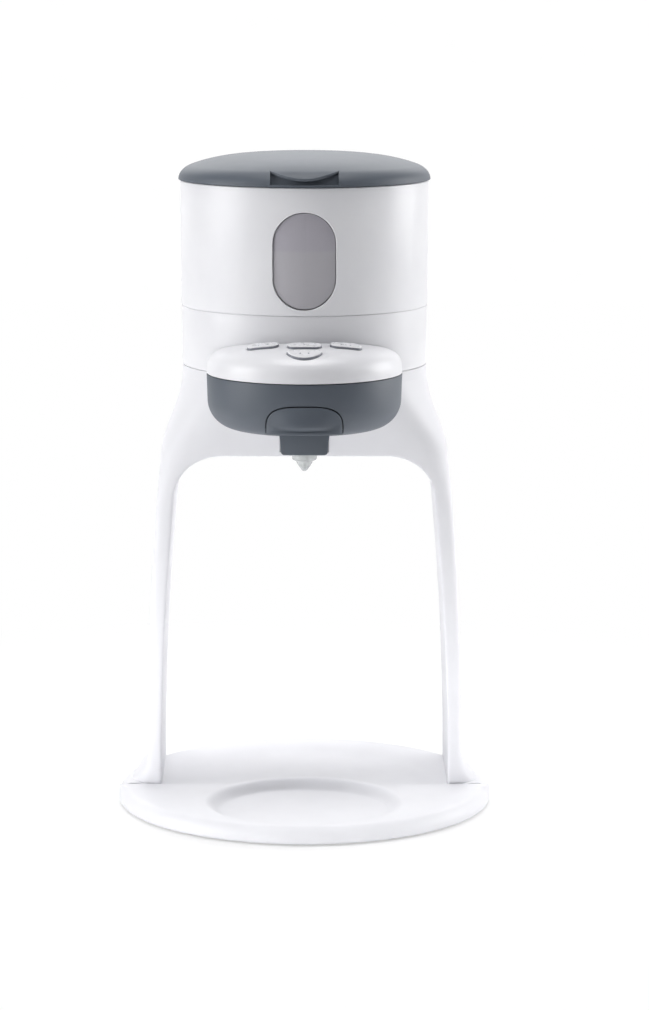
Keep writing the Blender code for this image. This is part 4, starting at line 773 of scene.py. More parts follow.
# Sub-assemblies


@dataclass
class Assembly:
    """A sub-assembly; its fields hold its finishes and its sizes in millimetres."""

    palette: Palette

    def build(self) -> None:
        """Makes the sub-assembly's pieces."""
        raise NotImplementedError


@dataclass
class Stand(Assembly):
    """One white moulding: a round neck that flows down into two legs on a dished half-round deck.

    Its sections are super-ellipses whose corners fill out towards the foot. The arch between the
    legs is open from front to back and its edges are rounded. The deck is the rear half of a
    round foot.
    """

    # The skin: where each change starts, how far down it takes and how much it adds.
    low: float = 4.0
    top: float = 225.3
    neck_radius: float = 61.1
    neck_end: float = 220.0
    corner_fall: float = 70.0
    shoulder: tuple[float, float] = (41.5, 11.3)
    legs_top: float = 178.5
    legs: tuple[float, float] = (155.8, 8.2)
    flare_top: float = 22.7
    flare: tuple[float, float] = (13.7, 8.6)
    flare_softness: float = 0.62
    # The front and rear faces, which swell out to the neck's round section.
    swell_low: float = 100.0
    swell_rise: float = 120.0
    swell_power: float = 2.4
    front: float = -7.0
    front_swell: float = 54.1
    rear: float = 59.0
    rear_swell: float = 2.1
    taper: float = 0.07
    reach: float = 94.5
    # The arch between the legs; the fan is the share of its run where loops reach the neck's top.
    arch_crown: float = 181.5
    arch_shoulder: float = 157.0
    arch_corner: tuple[float, float] = (25.0, 24.5)
    arch_rounding: float = 1.6
    arch_fan: float = 0.62
    leg_wall: float = 7.2
    leg_wall_more: float = 1.6
    # The neck's inside and the pocket for the spout's drawer.
    neck_floor: float = 189.0
    wall: float = 3.2
    pocket_half: float = 12.3
    pocket_depth: float = -27.5
    pocket_low: float = 184.0
    pocket_top: float = 212.0
    # The foot's deck, its rim and slope, and the round bay that takes the tray's bulge.
    foot_top: float = 9.0
    foot_front: float = -6.0
    foot_under: float = 3.1
    foot_edge: float = 1.0
    rim_centre: tuple[float, float] = (88.8, 2.8)
    rim_round: float = 6.2
    rim_foot: tuple[float, float] = (92.5, 94.4)
    slope_outer: float = 87.8
    slope_inner: float = 66.0
    slope_run: float = 21.8
    deck_low: float = 5.2
    bay_centre: float = -41.5
    bay_radius: float = 50.4

    def half_width(self, z: np.ndarray) -> np.ndarray:
        """Half of the stand's width at a height.

        The neck's radius, plus a soft step below it, plus a parabola down the legs, plus a flare
        at the foot. Each of the three is a pair: how far down it takes and how much it adds.

        Args:
            z: Heights.

        Returns:
            Half widths.
        """
        rise = fallen(z, self.neck_end, self.shoulder[0])
        down = 1 - fallen(z, self.legs_top, self.legs[0])
        flare = fallen(z, self.flare_top, self.flare[0])
        wide = self.neck_radius + self.shoulder[1] * rise**2 * (3 - 2 * rise)
        return wide + self.legs[1] * (1 - down**2) + self.flare[1] * flare**2

    def section(self, angle: np.ndarray, z: np.ndarray) -> np.ndarray:
        """Points of the outer skin.

        x = half width * cos(a) * reach and y = middle + half depth * sin(a) * reach, where reach
        is that of a super-ellipse of power 2 at the neck, 20 at the legs and 7.6 in the flare at
        the foot; x narrows a little towards front and back.

        Args:
            angle: Angles round the section, with -90 degrees in front.
            z: Heights.

        Returns:
            The points.
        """
        drop = fallen(z, self.neck_end, self.corner_fall)
        flare = fallen(z, self.flare_top, self.flare[0])
        power = 2 * 10**drop * (1 - self.flare_softness * flare)
        cos, sin = np.cos(angle), np.sin(angle)
        reach = (np.abs(cos) ** power + np.abs(sin) ** power) ** (-1 / power)
        up = np.clip((z - self.swell_low) / self.swell_rise, 0, 1)
        front = self.front - self.front_swell * up**self.swell_power
        rear = self.rear + self.rear_swell * up
        x = self.half_width(z) * cos * reach
        y = (front + rear) / 2 + (rear - front) / 2 * sin * reach
        x = x * (1 - self.taper * drop * (y / self.rear) ** 2)
        over = np.minimum(1, self.reach / np.maximum(np.hypot(x, y), 1e-6))
        return np.stack([x * over, y * over, z + 0 * x], -1)

    def arch_line(self) -> np.ndarray:
        """The arch's right half: up the leg's inner side, round the corner, to the middle.

        Returns:
            (x, z) pairs from the foot to the crown.
        """
        z = np.linspace(self.low, self.arch_shoulder, 34)
        thick = self.leg_wall + self.leg_wall_more * z / self.arch_shoulder
        inner = self.half_width(np.maximum(z, self.flare_top)) - thick
        middle = inner[-1] - self.arch_corner[0]
        corner = arc((middle, self.arch_shoulder), self.arch_corner, 0, 90, 18)[1:]
        flat = np.stack([np.linspace(middle, 0, 10), np.full(10, self.arch_crown)], -1)[1:]
        return np.concatenate([np.stack([inner, z], -1), corner, flat])

    def front_angle(self, x: np.ndarray, z: np.ndarray, front: bool) -> np.ndarray:
        """The section's angle at which the skin reaches a given x, by halving the quarter turn.

        Args:
            x: Where the skin is met.
            z: Heights.
            front: Front or rear face.

        Returns:
            Angles.
        """
        low = np.full_like(x, np.pi / 2)
        high = np.zeros_like(x)
        for _ in range(44):
            mid = (low + high) / 2
            wide = self.section(-mid if front else mid, z)[..., 0]
            low = np.where(wide < x, mid, low)
            high = np.where(wide < x, high, mid)
        mid = (low + high) / 2
        return -mid if front else mid

    def skin(self) -> bpy.types.Object:
        """The moulding above the deck, as one closed tube along the arch.

        Each loop starts at the arch's front edge, runs over the front face to the outline's outer
        side or the neck's top, crosses to the rear face, comes back to the arch's rear edge and
        closes along the arch's wall. Low loops cross the leg; high ones run up from the crown, so
        the loops fan out. The arch's two edges are rounded.

        Returns:
            The closed piece.
        """
        inner = self.arch_line()
        run = np.concatenate([[0], np.cumsum(np.hypot(*np.diff(inner, axis=0).T))])
        share = run / run[-1]
        marks = [0, self.arch_fan, 1.0]
        top_out = self.low + (self.top - self.low) * np.interp(share, marks, [0, 1.0, 1.0])
        turn = np.interp(share, marks, [0, 0.0, 1.0])
        t = np.linspace(0, 1, 700)[None, :]
        faces, corners = [], []
        for front in (True, False):
            start = self.front_angle(inner[:, 0], inner[:, 1], front)
            end = (-1 if front else 1) * turn * np.pi / 2
            angle = start[:, None] + (end - start)[:, None] * t
            height = inner[:, 1][:, None] + (top_out - inner[:, 1])[:, None] * t
            fine = self.section(angle, height)
            corners.append(fine[:, :1])
            faces.append(even_paths(fine, 46, self.arch_rounding))
        front, rear = faces
        across = np.array([0.0, self.arch_rounding, 0.0])
        bend = np.linspace(0, 1, 6)[None, 1:-1, None]
        walls = [corners[0] + across, corners[1] - across]
        wall = walls[1] + (walls[0] - walls[1]) * np.linspace(0, 1, 12)[None, :, None]
        rear_bend = curve_between(rear[:, :1], corners[1], walls[1], bend)
        front_bend = curve_between(walls[0], corners[0], front[:, :1], bend)
        loops = np.concatenate([front, rear[:, ::-1], rear_bend, wall, front_bend], 1)
        left = loops[::-1][1:] * np.array([-1, 1, 1])
        return loop_tube("stand_legs", np.concatenate([loops, left]))

    def hollow(self) -> bpy.types.Object:
        """The room inside the neck: the outer section drawn in by one wall, from floor to top.

        Returns:
            The cutter.
        """
        z = np.linspace(self.neck_floor, self.top + 3, 12)[:, None]
        turn = np.linspace(0, 2 * np.pi, 96, endpoint=False)[None, :]
        outer = self.section(turn + 0 * z, np.minimum(z, self.top) + 0 * turn)
        middle = (outer.max(1, keepdims=True) + outer.min(1, keepdims=True)) / 2
        inner = drawn_in(outer, middle, self.wall)
        inner[..., 2] = z
        return loop_tube("cut_hollow", inner)

    def deck(self) -> bpy.types.Object:
        """The foot's dished deck: a half disc with a soft rim and a straight front edge.

        Each loop is one section from the rim inwards to the tray's bay: underside, rim, deck.
        Ring r spans the half circle plus asin(front / r) at both ends, so that every ring ends on
        the straight front edge.

        Returns:
            The closed piece.
        """
        across = self.foot_front - self.bay_centre
        bay_half = np.arctan2(np.sqrt(self.bay_radius**2 - across**2), across)
        fan = np.linspace(-1, 1, 145)[:, None]
        bay = np.pi / 2 + fan * bay_half
        bay_y = self.bay_centre + self.bay_radius * np.sin(bay)
        inner = np.stack([self.bay_radius * np.cos(bay), bay_y], -1)
        slope = np.linspace(self.slope_outer, self.slope_inner, 14)
        rise = smooth_step((slope - self.slope_inner) / self.slope_run)
        slope_z = self.deck_low + (self.foot_top - self.deck_low) * rise
        rim = arc(self.rim_centre, (self.rim_round, self.rim_round), 0, 90, 9)
        groove, foot = self.rim_foot
        under = [[groove, self.foot_under], [groove, self.foot_edge], [foot, self.foot_edge]]
        section = np.concatenate([under, rim, np.stack([slope, slope_z], -1)])
        radius = section[None, :, 0]
        angle = np.pi / 2 + fan * (np.pi / 2 + np.arcsin(-self.foot_front / radius))
        plan = np.stack([radius * np.cos(angle), radius * np.sin(angle)], -1)
        run_in = np.linspace(0, 1, 12)[1:][None, :, None]
        flat = plan[:, -1:] + (inner - plan[:, -1:]) * run_in
        parts = [
            laid(plan, section[None, :, 1], View.ABOVE),
            laid(flat, self.deck_low, View.ABOVE),
            laid(inner, self.foot_under, View.ABOVE),
        ]
        return loop_tube("stand_deck", np.concatenate(parts, 1))

    def build(self) -> None:
        """Makes the moulding and its deck."""
        legs = self.skin()
        low = (-self.pocket_half, -90.0, self.pocket_low)
        carve(legs, block("cut", low, (self.pocket_half, self.pocket_depth, self.pocket_top)))
        carve(legs, self.hollow())
        for piece in (legs, self.deck()):
            dress(piece, self.palette.stand, "stand", "stand_frame", 38)


@dataclass
class Tray(Assembly):
    """A white half disc with a round dish that bulges behind its straight rear edge."""

    radius: float = 95.0
    rear: float = -7.3
    centre: float = -41.5
    bowl: float = 49.7
    floor_radius: float = 37.4
    floor_stretch: float = 1.11
    lip_radius: float = 47.5
    lip_stretch: float = 1.055
    floor: float = 4.4
    top: float = 9.0
    rim_round: float = 6.2
    rear_round: float = 1.2
    front_low: float = 1.0
    under: float = 3.1
    chamfer: float = 0.6
    foot_width: float = 2.5
    lip_margin: float = 0.2
    blend_start: float = 1.0
    blend_run: float = 6.0

    def outline(self) -> tuple[np.ndarray, np.ndarray]:
        """The tray's edge as seen from above, as distance from the dish's centre over turn.

        Along a turn t the edge is the nearer of the big disc and the straight rear edge, but
        never nearer than the dish's own wall.

        Returns:
            Turns and distances.
        """
        back = self.rear - self.centre
        half = np.sqrt(self.radius**2 - self.rear**2)
        bulge = np.sqrt(self.bowl**2 - back**2)
        corner, meet = np.arctan2(back, half), np.arctan2(back, bulge)
        spans = [
            np.linspace(corner, meet, 30),
            np.linspace(meet, np.pi - meet, 90)[1:],
            np.linspace(np.pi - meet, np.pi - corner, 30)[1:],
            np.linspace(np.pi - corner, 2 * np.pi + corner, 170)[1:-1],
        ]
        turn = np.concatenate(spans)
        sin = np.sin(turn)
        beyond = np.maximum(self.radius**2 - (self.centre * np.cos(turn)) ** 2, 0)
        disc = -self.centre * sin + np.sqrt(beyond)
        edge = np.where(sin > 1e-6, np.minimum(disc, back / np.maximum(sin, 1e-6)), disc)
        return turn, np.maximum(edge, self.bowl)

    def build(self) -> None:
        """Makes the tray.

        Rings round the dish's centre: the floor, the wall's soft S, the flat deck out to the
        edge, the rim's rounding, which is large at the big disc and small at the rear edge, and
        the underside. Floor and lip are ellipses: r / sqrt((cos / stretch)^2 + sin^2) at a turn.
        """
        turn, edge = self.outline()
        cos, sin = np.cos(turn), np.sin(turn)
        behind = self.rear - self.blend_start - (self.centre + edge * sin)
        front = smooth_step(behind / self.blend_run)
        rounding = self.rear_round + (self.rim_round - self.rear_round) * front
        floor = self.floor_radius / np.sqrt((cos / self.floor_stretch) ** 2 + sin**2)
        lip = self.lip_radius / np.sqrt((cos / self.lip_stretch) ** 2 + sin**2)
        inner = np.maximum(edge - rounding, lip + self.lip_margin)
        low = self.front_low + (self.under - self.front_low) * (1 - front)
        wall = np.linspace(0, 1, 14)[1:]
        wall_z = self.floor + (self.top - self.floor) * smooth_step(wall)
        t = np.radians(np.linspace(90, 0, 9)[1:])
        foot = edge - self.foot_width
        rows = [
            (floor * np.linspace(0.02, 1, 12)[:, None], self.floor),
            (rows_between(floor, lip, wall), wall_z[:, None]),
            (rows_between(lip, inner, np.linspace(0, 1, 8)[1:]), self.top),
            (rows_between(inner, edge, np.cos(t)), self.top - rounding * (1 - np.sin(t))[:, None]),
            (np.stack([edge, edge - self.chamfer, foot]), np.stack([low + self.chamfer, low, low])),
            (np.stack([foot, np.ones_like(edge)]), self.under),
        ]
        r = np.concatenate([rings for rings, _ in rows])
        z = np.concatenate([np.broadcast_to(height, rings.shape) for rings, height in rows])
        points = np.stack([r * cos, self.centre + r * sin, z], -1)
        made = loop_tube("tray_moulding", points)
        dress(made, self.palette.stand, "tray", "drip_tray", 50)


@dataclass
class Housing(Assembly):
    """The gloss white drum that holds the works; its deck takes the tank's valve in a socket."""

    low: float = 225.7
    low_radius: float = 61.1
    top: float = 255.0
    top_radius: float = 61.5
    wall: float = 2.7
    floor: float = 3.0
    socket: float = 11.8
    socket_at: tuple[float, float] = (-24.0, 24.0)
    rounding: float = 0.35
    groove: float = 0.45
    step: float = 0.32
    step_width: float = 3.6

    def build(self) -> None:
        """Makes the drum as a turned shell and cuts the socket in its deck.

        A low step inside each rim closes the seam to the tank above and to the neck below, so
        that the seam shows as a shallow groove.
        """
        high, low = self.top + self.step, self.low - self.step
        top_groove, low_groove = self.top_radius - self.groove, self.low_radius - self.groove
        section = [
            (0.0, self.top, 0),
            (self.top_radius - self.step_width - 0.4, self.top, 0.1),
            (self.top_radius - self.step_width, high, 0.1),
            (top_groove, high, 0.1),
            (top_groove, self.top, 0.05),
            (self.top_radius, self.top, self.rounding),
            (self.low_radius, self.low, self.rounding),
            (low_groove, self.low, 0.05),
            (low_groove, low, 0.1),
            (self.low_radius - self.wall, low, 0.1),
            (self.top_radius - self.wall, self.top - self.floor, 1.5),
            (0.0, self.top - self.floor, 0),
        ]
        shell = revolve("housing_drum", rounded_profile(section), 256)
        carve(shell, drum("cut_socket", self.socket, 200.0, 270.0, 72, self.socket_at))
        dress(shell, self.palette.shell, "stand", "lower_housing")


class Key(Enum):
    """The four keys on the head, by where they stand."""

    LEFT = "left"
    RIGHT = "right"
    REAR = "rear"
    FRONT = "front"


@dataclass(frozen=True)
class KeyPlan:
    """Outline of one key as seen from above, in millimetres, and the X of its printed dots."""

    centre: tuple[float, float]
    size: tuple[float, float]
    dots: tuple[float, ...]
    turn: float = 0.0
    flat_rear: bool = False
    corner: float = 1.6
    corner_draw: float = 1.05

    def outline(self, grow: float = 0.0) -> np.ndarray:
        """Points round the key: a stadium, or a half moon whose straight side is at the rear.

        Args:
            grow: How far outside the key the outline runs.

        Returns:
            (x, y) pairs, turned and placed.
        """
        wide, deep = self.size[0] / 2 + grow, self.size[1] / 2 + grow
        if self.flat_rear:
            corner = self.corner + grow
            side, rear = wide - corner * self.corner_draw, deep - corner
            bow = arc((0, deep), (wide, 2 * deep), 180, 360, 48)
            right = arc((side, rear), (corner, corner), 0, 90, 8)
            left = arc((-side, rear), (corner, corner), 90, 180, 8)
            local = np.concatenate([bow[bow[:, 1] < rear], right, left])
        else:
            right = arc((wide - deep, 0), (deep, deep), -90, 90, 24)
            local = np.concatenate([right, arc((deep - wide, 0), (deep, deep), 90, 270, 24)])
        a = np.radians(self.turn)
        turned = local @ np.array([[np.cos(a), np.sin(a)], [-np.sin(a), np.cos(a)]])
        return turned + np.array(self.centre)


@dataclass
class Spout(Assembly):
    """The drawer that carries the nozzle, pulled out by a slate-grey handle in the cup's front."""

    centre: float = -40.3
    radius: float = 48.0
    handle_half: float = 18.2
    handle_low: float = 201.0
    handle_shoulder: float = 203.4
    handle_top: float = 214.4
    handle_power: float = 3.0
    handle_rear: float = -78.8
    handle_edge: float = 0.3
    crease: tuple[float, float] = (0.15, 0.13)
    crease_join: float = 0.12
    lip_rise: tuple[float, float] = (-0.03, 0.07)
    lip_fall: tuple[float, float] = (0.10, 0.06)
    lip_dip: float = 0.3
    pillow: float = 2.76
    pillow_power: float = 1.4
    gap: float = 0.6
    drawer_half: float = 11.3
    drawer_low: float = 191.5
    drawer_top: float = 203.0
    drawer_front: float = -85.0
    drawer_rear: float = -30.0
    shroud_wall: float = 2.0
    shroud_half: float = 11.2
    shroud_top_half: float = 12.2
    shroud_low: float = 190.9
    shroud_neck: float = 198.6
    shroud_shoulder: float = 200.9
    shroud_rear: float = -63.5

    # The funnel through the drawer, and the nozzle: its collar, its outside down to the tip, and
    # its bore back up. Pairs of radius and height.
    funnel = ((0, 186.0), (4.9, 186.0), (4.9, 195.0), (8.5, 201.0), (8.5, 210.0), (0, 210.0))
    nozzle = ((4.4, 194.5), (4.8, 194.5), (4.8, 191.3), (6.0, 191.3), (6.2, 191.0))
    nozzle += ((6.2, 183.0), (5.9, 182.2), (5.2, 181.8), (4.1, 181.2), (3.8, 180.4))
    nozzle += ((2.6, 178.4), (1.5, 177.0), (1.0, 176.5), (0.8, 176.5), (0.8, 178.0))
    nozzle += ((2.6, 181.4), (4.2, 184.5), (4.4, 188.0))

    def half_at(self, z: np.ndarray, grow: float = 0.0) -> np.ndarray:
        """Half of the handle's width: straight to the shoulder, then a super-elliptic arch.

        Args:
            z: Heights.
            grow: How far outside the handle.

        Returns:
            Half widths.
        """
        rise = self.handle_top + grow - self.handle_shoulder
        share = np.clip((z - self.handle_shoulder) / rise, 0, 1)
        power = self.handle_power
        return (self.handle_half + grow) * (1 - share**power) ** (1 / power)

    def handle_heights(self, grow: float = 0.0) -> np.ndarray:
        """Heights of the handle's slices, closer together where its arch turns.

        Args:
            grow: How far outside the handle.

        Returns:
            Heights.
        """
        turn = np.sin(np.linspace(0, np.pi / 2, 40)) ** 0.8
        low = np.linspace(self.handle_low - grow, self.handle_shoulder, 14)
        rise = self.handle_top + grow - self.handle_shoulder
        return np.concatenate([low, self.handle_shoulder + rise * turn[1:]])

    def handle_outline(self, grow: float = 0.0) -> np.ndarray:
        """The handle from the front, in X and Z: a flat bottom under an arch.

        Args:
            grow: How far outside the handle.

        Returns:
            The outline.
        """
        z = self.handle_heights(grow)
        half = self.half_at(z, grow)
        left = np.column_stack([-half, z])[::-1][1:]
        return np.concatenate([np.column_stack([half, z]), left])

    def drawer_outline(self, grow: float = 0.0) -> np.ndarray:
        """The drawer from the front, in X and Z: a flat top and rounded lower corners.

        Args:
            grow: How far outside the drawer.

        Returns:
            The outline.
        """
        half = self.drawer_half + grow
        low, top = self.drawer_low - grow, self.drawer_top + grow
        corners = [(-half, low, 4.0), (half, low, 4.0), (half, top, 0.4), (-half, top, 0.4)]
        return rounded_profile(corners, closed=True, steps=9)

    def shroud_outline(self, grow: float = 0.0) -> np.ndarray:
        """The drawer's front end, in X and Z: wider at its top, with small lower corners.

        Args:
            grow: How far outside the shroud.

        Returns:
            The outline.
        """
        low_half, high_half = self.shroud_half + grow, self.shroud_top_half + grow
        low, top = self.shroud_low - grow, self.drawer_top + grow
        right = [
            (low_half, low, 2.0),
            (low_half + 0.5, self.shroud_neck, 2.0),
            (high_half, self.shroud_shoulder, 0.8),
            (high_half, top, 0.3),
        ]
        left = [(-x, z, radius) for x, z, radius in right[::-1]]
        return rounded_profile([left[-1], *right, *left[:-1]], closed=True, steps=7)

    def handle(self) -> bpy.types.Object:
        """The handle as a stack of slices.

        Slice z has the half width w of the arch, and its front follows the cup's curve, y = centre
        - sqrt(R^2 - x^2), less a swell: a narrow lip at the bottom, a shallow crease, then a
        pillow that grows to a nose low down and slopes back to nothing at the top. Over the slice
        the pillow falls off by cos^2(pi / 2 |x / w|^power), and the slice's edge is rounded. The
        crease under the pillow rises towards the sides, so that the pillow's foot is a smile. The
        marks of crease and lip are shares of the handle's height: start and length.

        Returns:
            The closed piece.
        """
        z = self.handle_heights()
        half = np.maximum(self.half_at(z), 0.02)
        up = ((z - self.handle_low) / (self.handle_top - self.handle_low))[:, None]
        span = np.sin(np.linspace(-np.pi / 2, np.pi / 2, 81))
        across = half[:, None] * span
        crease = self.crease[0] + self.crease[1] * span**2
        over = np.clip((up - crease) / (1 - crease), 0, 1)
        rise = smooth_step((up - self.lip_rise[0]) / self.lip_rise[1])
        dip = self.lip_dip * smooth_step((up - self.lip_fall[0]) / self.lip_fall[1])
        lip = rise * (1 - dip) * (1 - span**8)
        fall = np.cos(np.pi / 2 * np.abs(span) ** self.pillow_power) ** 2
        pillow = self.pillow * np.sin(np.pi * over**0.5) ** 0.9 * fall
        join = smooth_step(over / self.crease_join)
        swell = lip * (1 - join) + pillow * join
        rounded = (1 - np.abs(span) ** 14) ** 0.5
        edge = self.handle_edge
        wall = self.centre - np.sqrt(self.radius**2 - across**2)
        front = np.stack([across, wall + edge - (edge + swell) * rounded], -1)
        rear = np.stack([across, np.full_like(across, self.handle_rear)], -1)[:, ::-1]
        plan = np.concatenate([front, rear], 1)
        return loop_tube("spout_handle_shell", laid(plan, z[:, None], View.ABOVE))

    def bar(self, name: str, edge: np.ndarray, front: float, rear: float) -> bpy.types.Object:
        """A prism along Y whose front and rear edges are rounded by half a millimetre.

        Args:
            name: Name of the piece.
            edge: Its outline in X and Z.
            front: Where it starts.
            rear: Where it ends.

        Returns:
            The closed piece.
        """
        middle = (edge.max(0) + edge.min(0)) / 2
        near = ((front, 0.5), (front + 0.15, 0.15), (front + 0.5, 0))
        steps = (*near, (rear - 0.5, 0), (rear, 0.5))
        rings = [laid(drawn_in(edge, middle, inset), y, View.FRONT) for y, inset in steps]
        return loop_tube(name, np.array(rings))

    def build(self) -> None:
        """Makes the handle, the drawer with its funnel and shroud, and the soft nozzle."""
        middle = (0.0, self.centre)
        handle = self.handle()
        shroud = self.shroud_outline()
        shroud = self.bar("spout_shroud", shroud, self.drawer_front, self.shroud_rear)
        front = self.drawer_front + self.shroud_wall
        drawer = self.bar("spout_drawer_shell", self.drawer_outline(), front, self.drawer_rear)
        carve(drawer, revolve("cut_funnel", self.funnel, 64, middle))
        for piece, sharp in ((handle, 50), (shroud, 50), (drawer, 40)):
            dress(piece, self.palette.slate, "spout", "spout_carrier", sharp)
        nozzle = revolve("nozzle_moulding", self.nozzle, 96, middle, ring=True)
        dress(nozzle, self.palette.silicone, "spout", "spout_nozzle", 45)


@dataclass
class HeadUnit(Assembly):
    """The head: a gloss white domed cap with four keys over a slate-grey cup.

    The dome's height over its rim is rise * (1 - (r / radius)^power)^(1 / power). The spout is
    the one that slides in the cup.
    """

    spout: Spout
    centre: float = -40.3
    radius: float = 48.0
    cap_low: float = 225.7
    cap_rise: float = 17.0
    cap_power: float = 3.0
    cap_wall: float = 1.9
    cup_low: float = 198.5
    cup_top: float = 225.3
    cup_round: float = 14.0
    cup_wall: float = 2.2
    cup_draft: float = 0.4
    drum_gap: float = 61.8
    neck_gap: float = 61.7
    key_proud: float = 1.3
    key_gap: float = 0.35
    key_round: float = 0.5
    key_hollow: float = 0.25
    opening_rear: float = -76.0
    opening_gap: float = 0.4
    drawer_gap: float = 0.5
    pocket_wall: float = 2.4
    pocket_inset: float = 1.0
    pocket_side: float = 1.4
    pocket_front: float = -78.6
    pocket_rear: float = -77.4

    # How far in and down the cup's lip turns, and a key's lifts, edge turns and finger rings.
    cup_lip = ((0.0, 0.5), (0.25, 0.1), (0.7, 0.0))
    key_lifts = (-4.5, -1.2, 0.75)
    key_turns = (22, 45, 68, 90)
    key_shares = (0.8, 0.55, 0.3, 0.1)
    plans = {
        Key.LEFT: KeyPlan((-20.0, -65.0), (15.4, 6.8), (-2.2, 2.2), -11.0),
        Key.RIGHT: KeyPlan((20.0, -65.0), (15.4, 6.8), (-2.2, 0.0, 2.2), 11.0),
        Key.REAR: KeyPlan((0.0, -69.0), (16.4, 7.2), (0.0,)),
        Key.FRONT: KeyPlan((0.0, -79.9), (17.2, 6.8), (-2.0, 2.0), flat_rear=True),
    }

    def dome(self, x: np.ndarray, y: np.ndarray) -> np.ndarray:
        """Height of the cap's top over a place.

        Args:
            x: Places across.
            y: Places from front to back.

        Returns:
            Heights.
        """
        share = np.clip(np.hypot(x, y - self.centre) / self.radius, 0, 1)
        power = self.cap_power
        return self.cap_low + self.cap_rise * (1 - share**power) ** (1 / power)

    def cap(self) -> None:
        """Makes the cap as a turned shell, cut by the drum, with a slot for each key."""
        t = np.sin(np.linspace(0, np.pi / 2, 70))
        height = self.dome(self.radius * t, np.full_like(t, self.centre))
        outer = np.stack([self.radius * t, height], -1)
        inner = np.stack([(self.radius - self.cap_wall) * t, height - self.cap_wall], -1)[::-1]
        inner[0, 1] = self.cap_low
        inner[:, 1] = np.maximum(inner[:, 1], self.cap_low)
        profile = np.concatenate([outer, inner])
        cap = revolve("head_cap_shell", profile, 224, (0.0, self.centre))
        carve(cap, drum("cut_drum", self.drum_gap, 180.0, 280.0, 256))
        for key, plan in self.plans.items():
            slot = plan.outline(self.key_gap)
            carve(cap, prism(f"cut_{key.value}", slot, 226.0, 260.0, View.ABOVE))
        dress(cap, self.palette.shell, "stand", "head_cap", 40)

    def key(self, key: Key) -> None:
        """Makes one key: its outline carried up, its top following the dome with a rounded edge.

        Every ring stands at the dome's height plus its own lift. The outer ones round the edge
        over, and inward copies of the last, at share k of the way from the centre, dip by
        hollow * (1 - k^2) for the finger.

        Args:
            key: Which key.
        """
        plan = self.plans[key]
        edge = plan.outline()
        middle = edge.mean(0)
        rings = [(edge, lift) for lift in self.key_lifts]
        for t in np.radians(self.key_turns):
            ring = drawn_in(edge, middle, self.key_round * (1 - np.cos(t)))
            rings.append((ring, self.key_proud - self.key_round * (1 - np.sin(t))))
        last = rings[-1][0]
        for share in self.key_shares:
            lift = self.key_proud - self.key_hollow * (1 - share**2)
            rings.append((middle + (last - middle) * share, lift))
        loops = [laid(ring, self.dome(*ring.T) + lift, View.ABOVE) for ring, lift in rings]
        made = loop_tube(f"{key.value}_key_top", np.array(loops))
        x, y = plan.centre
        # The key's material paints its side walls grey as shade.
        look = KeyPlastic(f"key_two_shot_abs_{key.value}").material([(x + d, y) for d in plan.dots])
        dress(made, look, f"{key.value}_key", f"key_{key.value}", 50)

    def cup(self) -> None:
        """Makes the cup as a turned shell, cut by the neck, with the spout's openings.

        A second moulded wall closes the pocket behind the handle, so that nobody sees through the
        gap. Every opening starts in front of the cup, and its rear end is what shapes it.
        """
        low, top, bend, wall = self.cup_low, self.cup_top, self.cup_round, self.cup_wall
        at = (self.radius - bend - self.cup_draft, low + bend)
        section = [
            *np.stack([np.linspace(0, at[0], 12), np.full(12, low)], -1)[:-1],
            *arc(at, (bend, bend), -90, 0, 24),
            *[(self.radius - inwards, top - down) for inwards, down in self.cup_lip],
            (self.radius - wall, top),
            *arc(at, (bend - wall, bend - wall), 0, -90, 20),
            (0.0, low + wall),
        ]
        middle = (0.0, self.centre)
        cup = revolve("head_cup_shell", section, 224, middle)
        low, bend = low + self.pocket_inset, bend - self.pocket_inset
        section = [(0.0, low), *arc((at[0], low + bend), (bend, bend), -90, 0, 24)]
        top -= self.pocket_inset
        section += [(self.radius - self.pocket_side, top), (0.0, top)]
        pocket = revolve("head_cup_pocket", section, 224, middle)
        spout = self.spout
        room = spout.handle_outline(self.pocket_wall)
        room = prism("keep_pocket", room, -95.0, self.pocket_rear, View.FRONT)
        carve(pocket, room, keep=True)
        carve(cup, drum("cut_neck", self.neck_gap, 180.0, 240.0, 256))
        gap = self.opening_gap
        for piece, depth in ((cup, self.opening_rear), (pocket, self.pocket_front)):
            openings = [
                (spout.drawer_outline(self.drawer_gap), -95.0, -20.0),
                (spout.shroud_outline(gap), -96.0, spout.shroud_rear + gap),
                (spout.handle_outline(spout.gap), -98.0, depth),
            ]
            for outline, front, rear in openings:
                carve(piece, prism("cut_opening", outline, front, rear, View.FRONT))
            dress(piece, self.palette.slate, "stand", "head_cup", 40)

    def build(self) -> None:
        """Makes the cap, the cup and the four keys."""
        self.cap()
        self.cup()
        for key in Key:
            self.key(key)


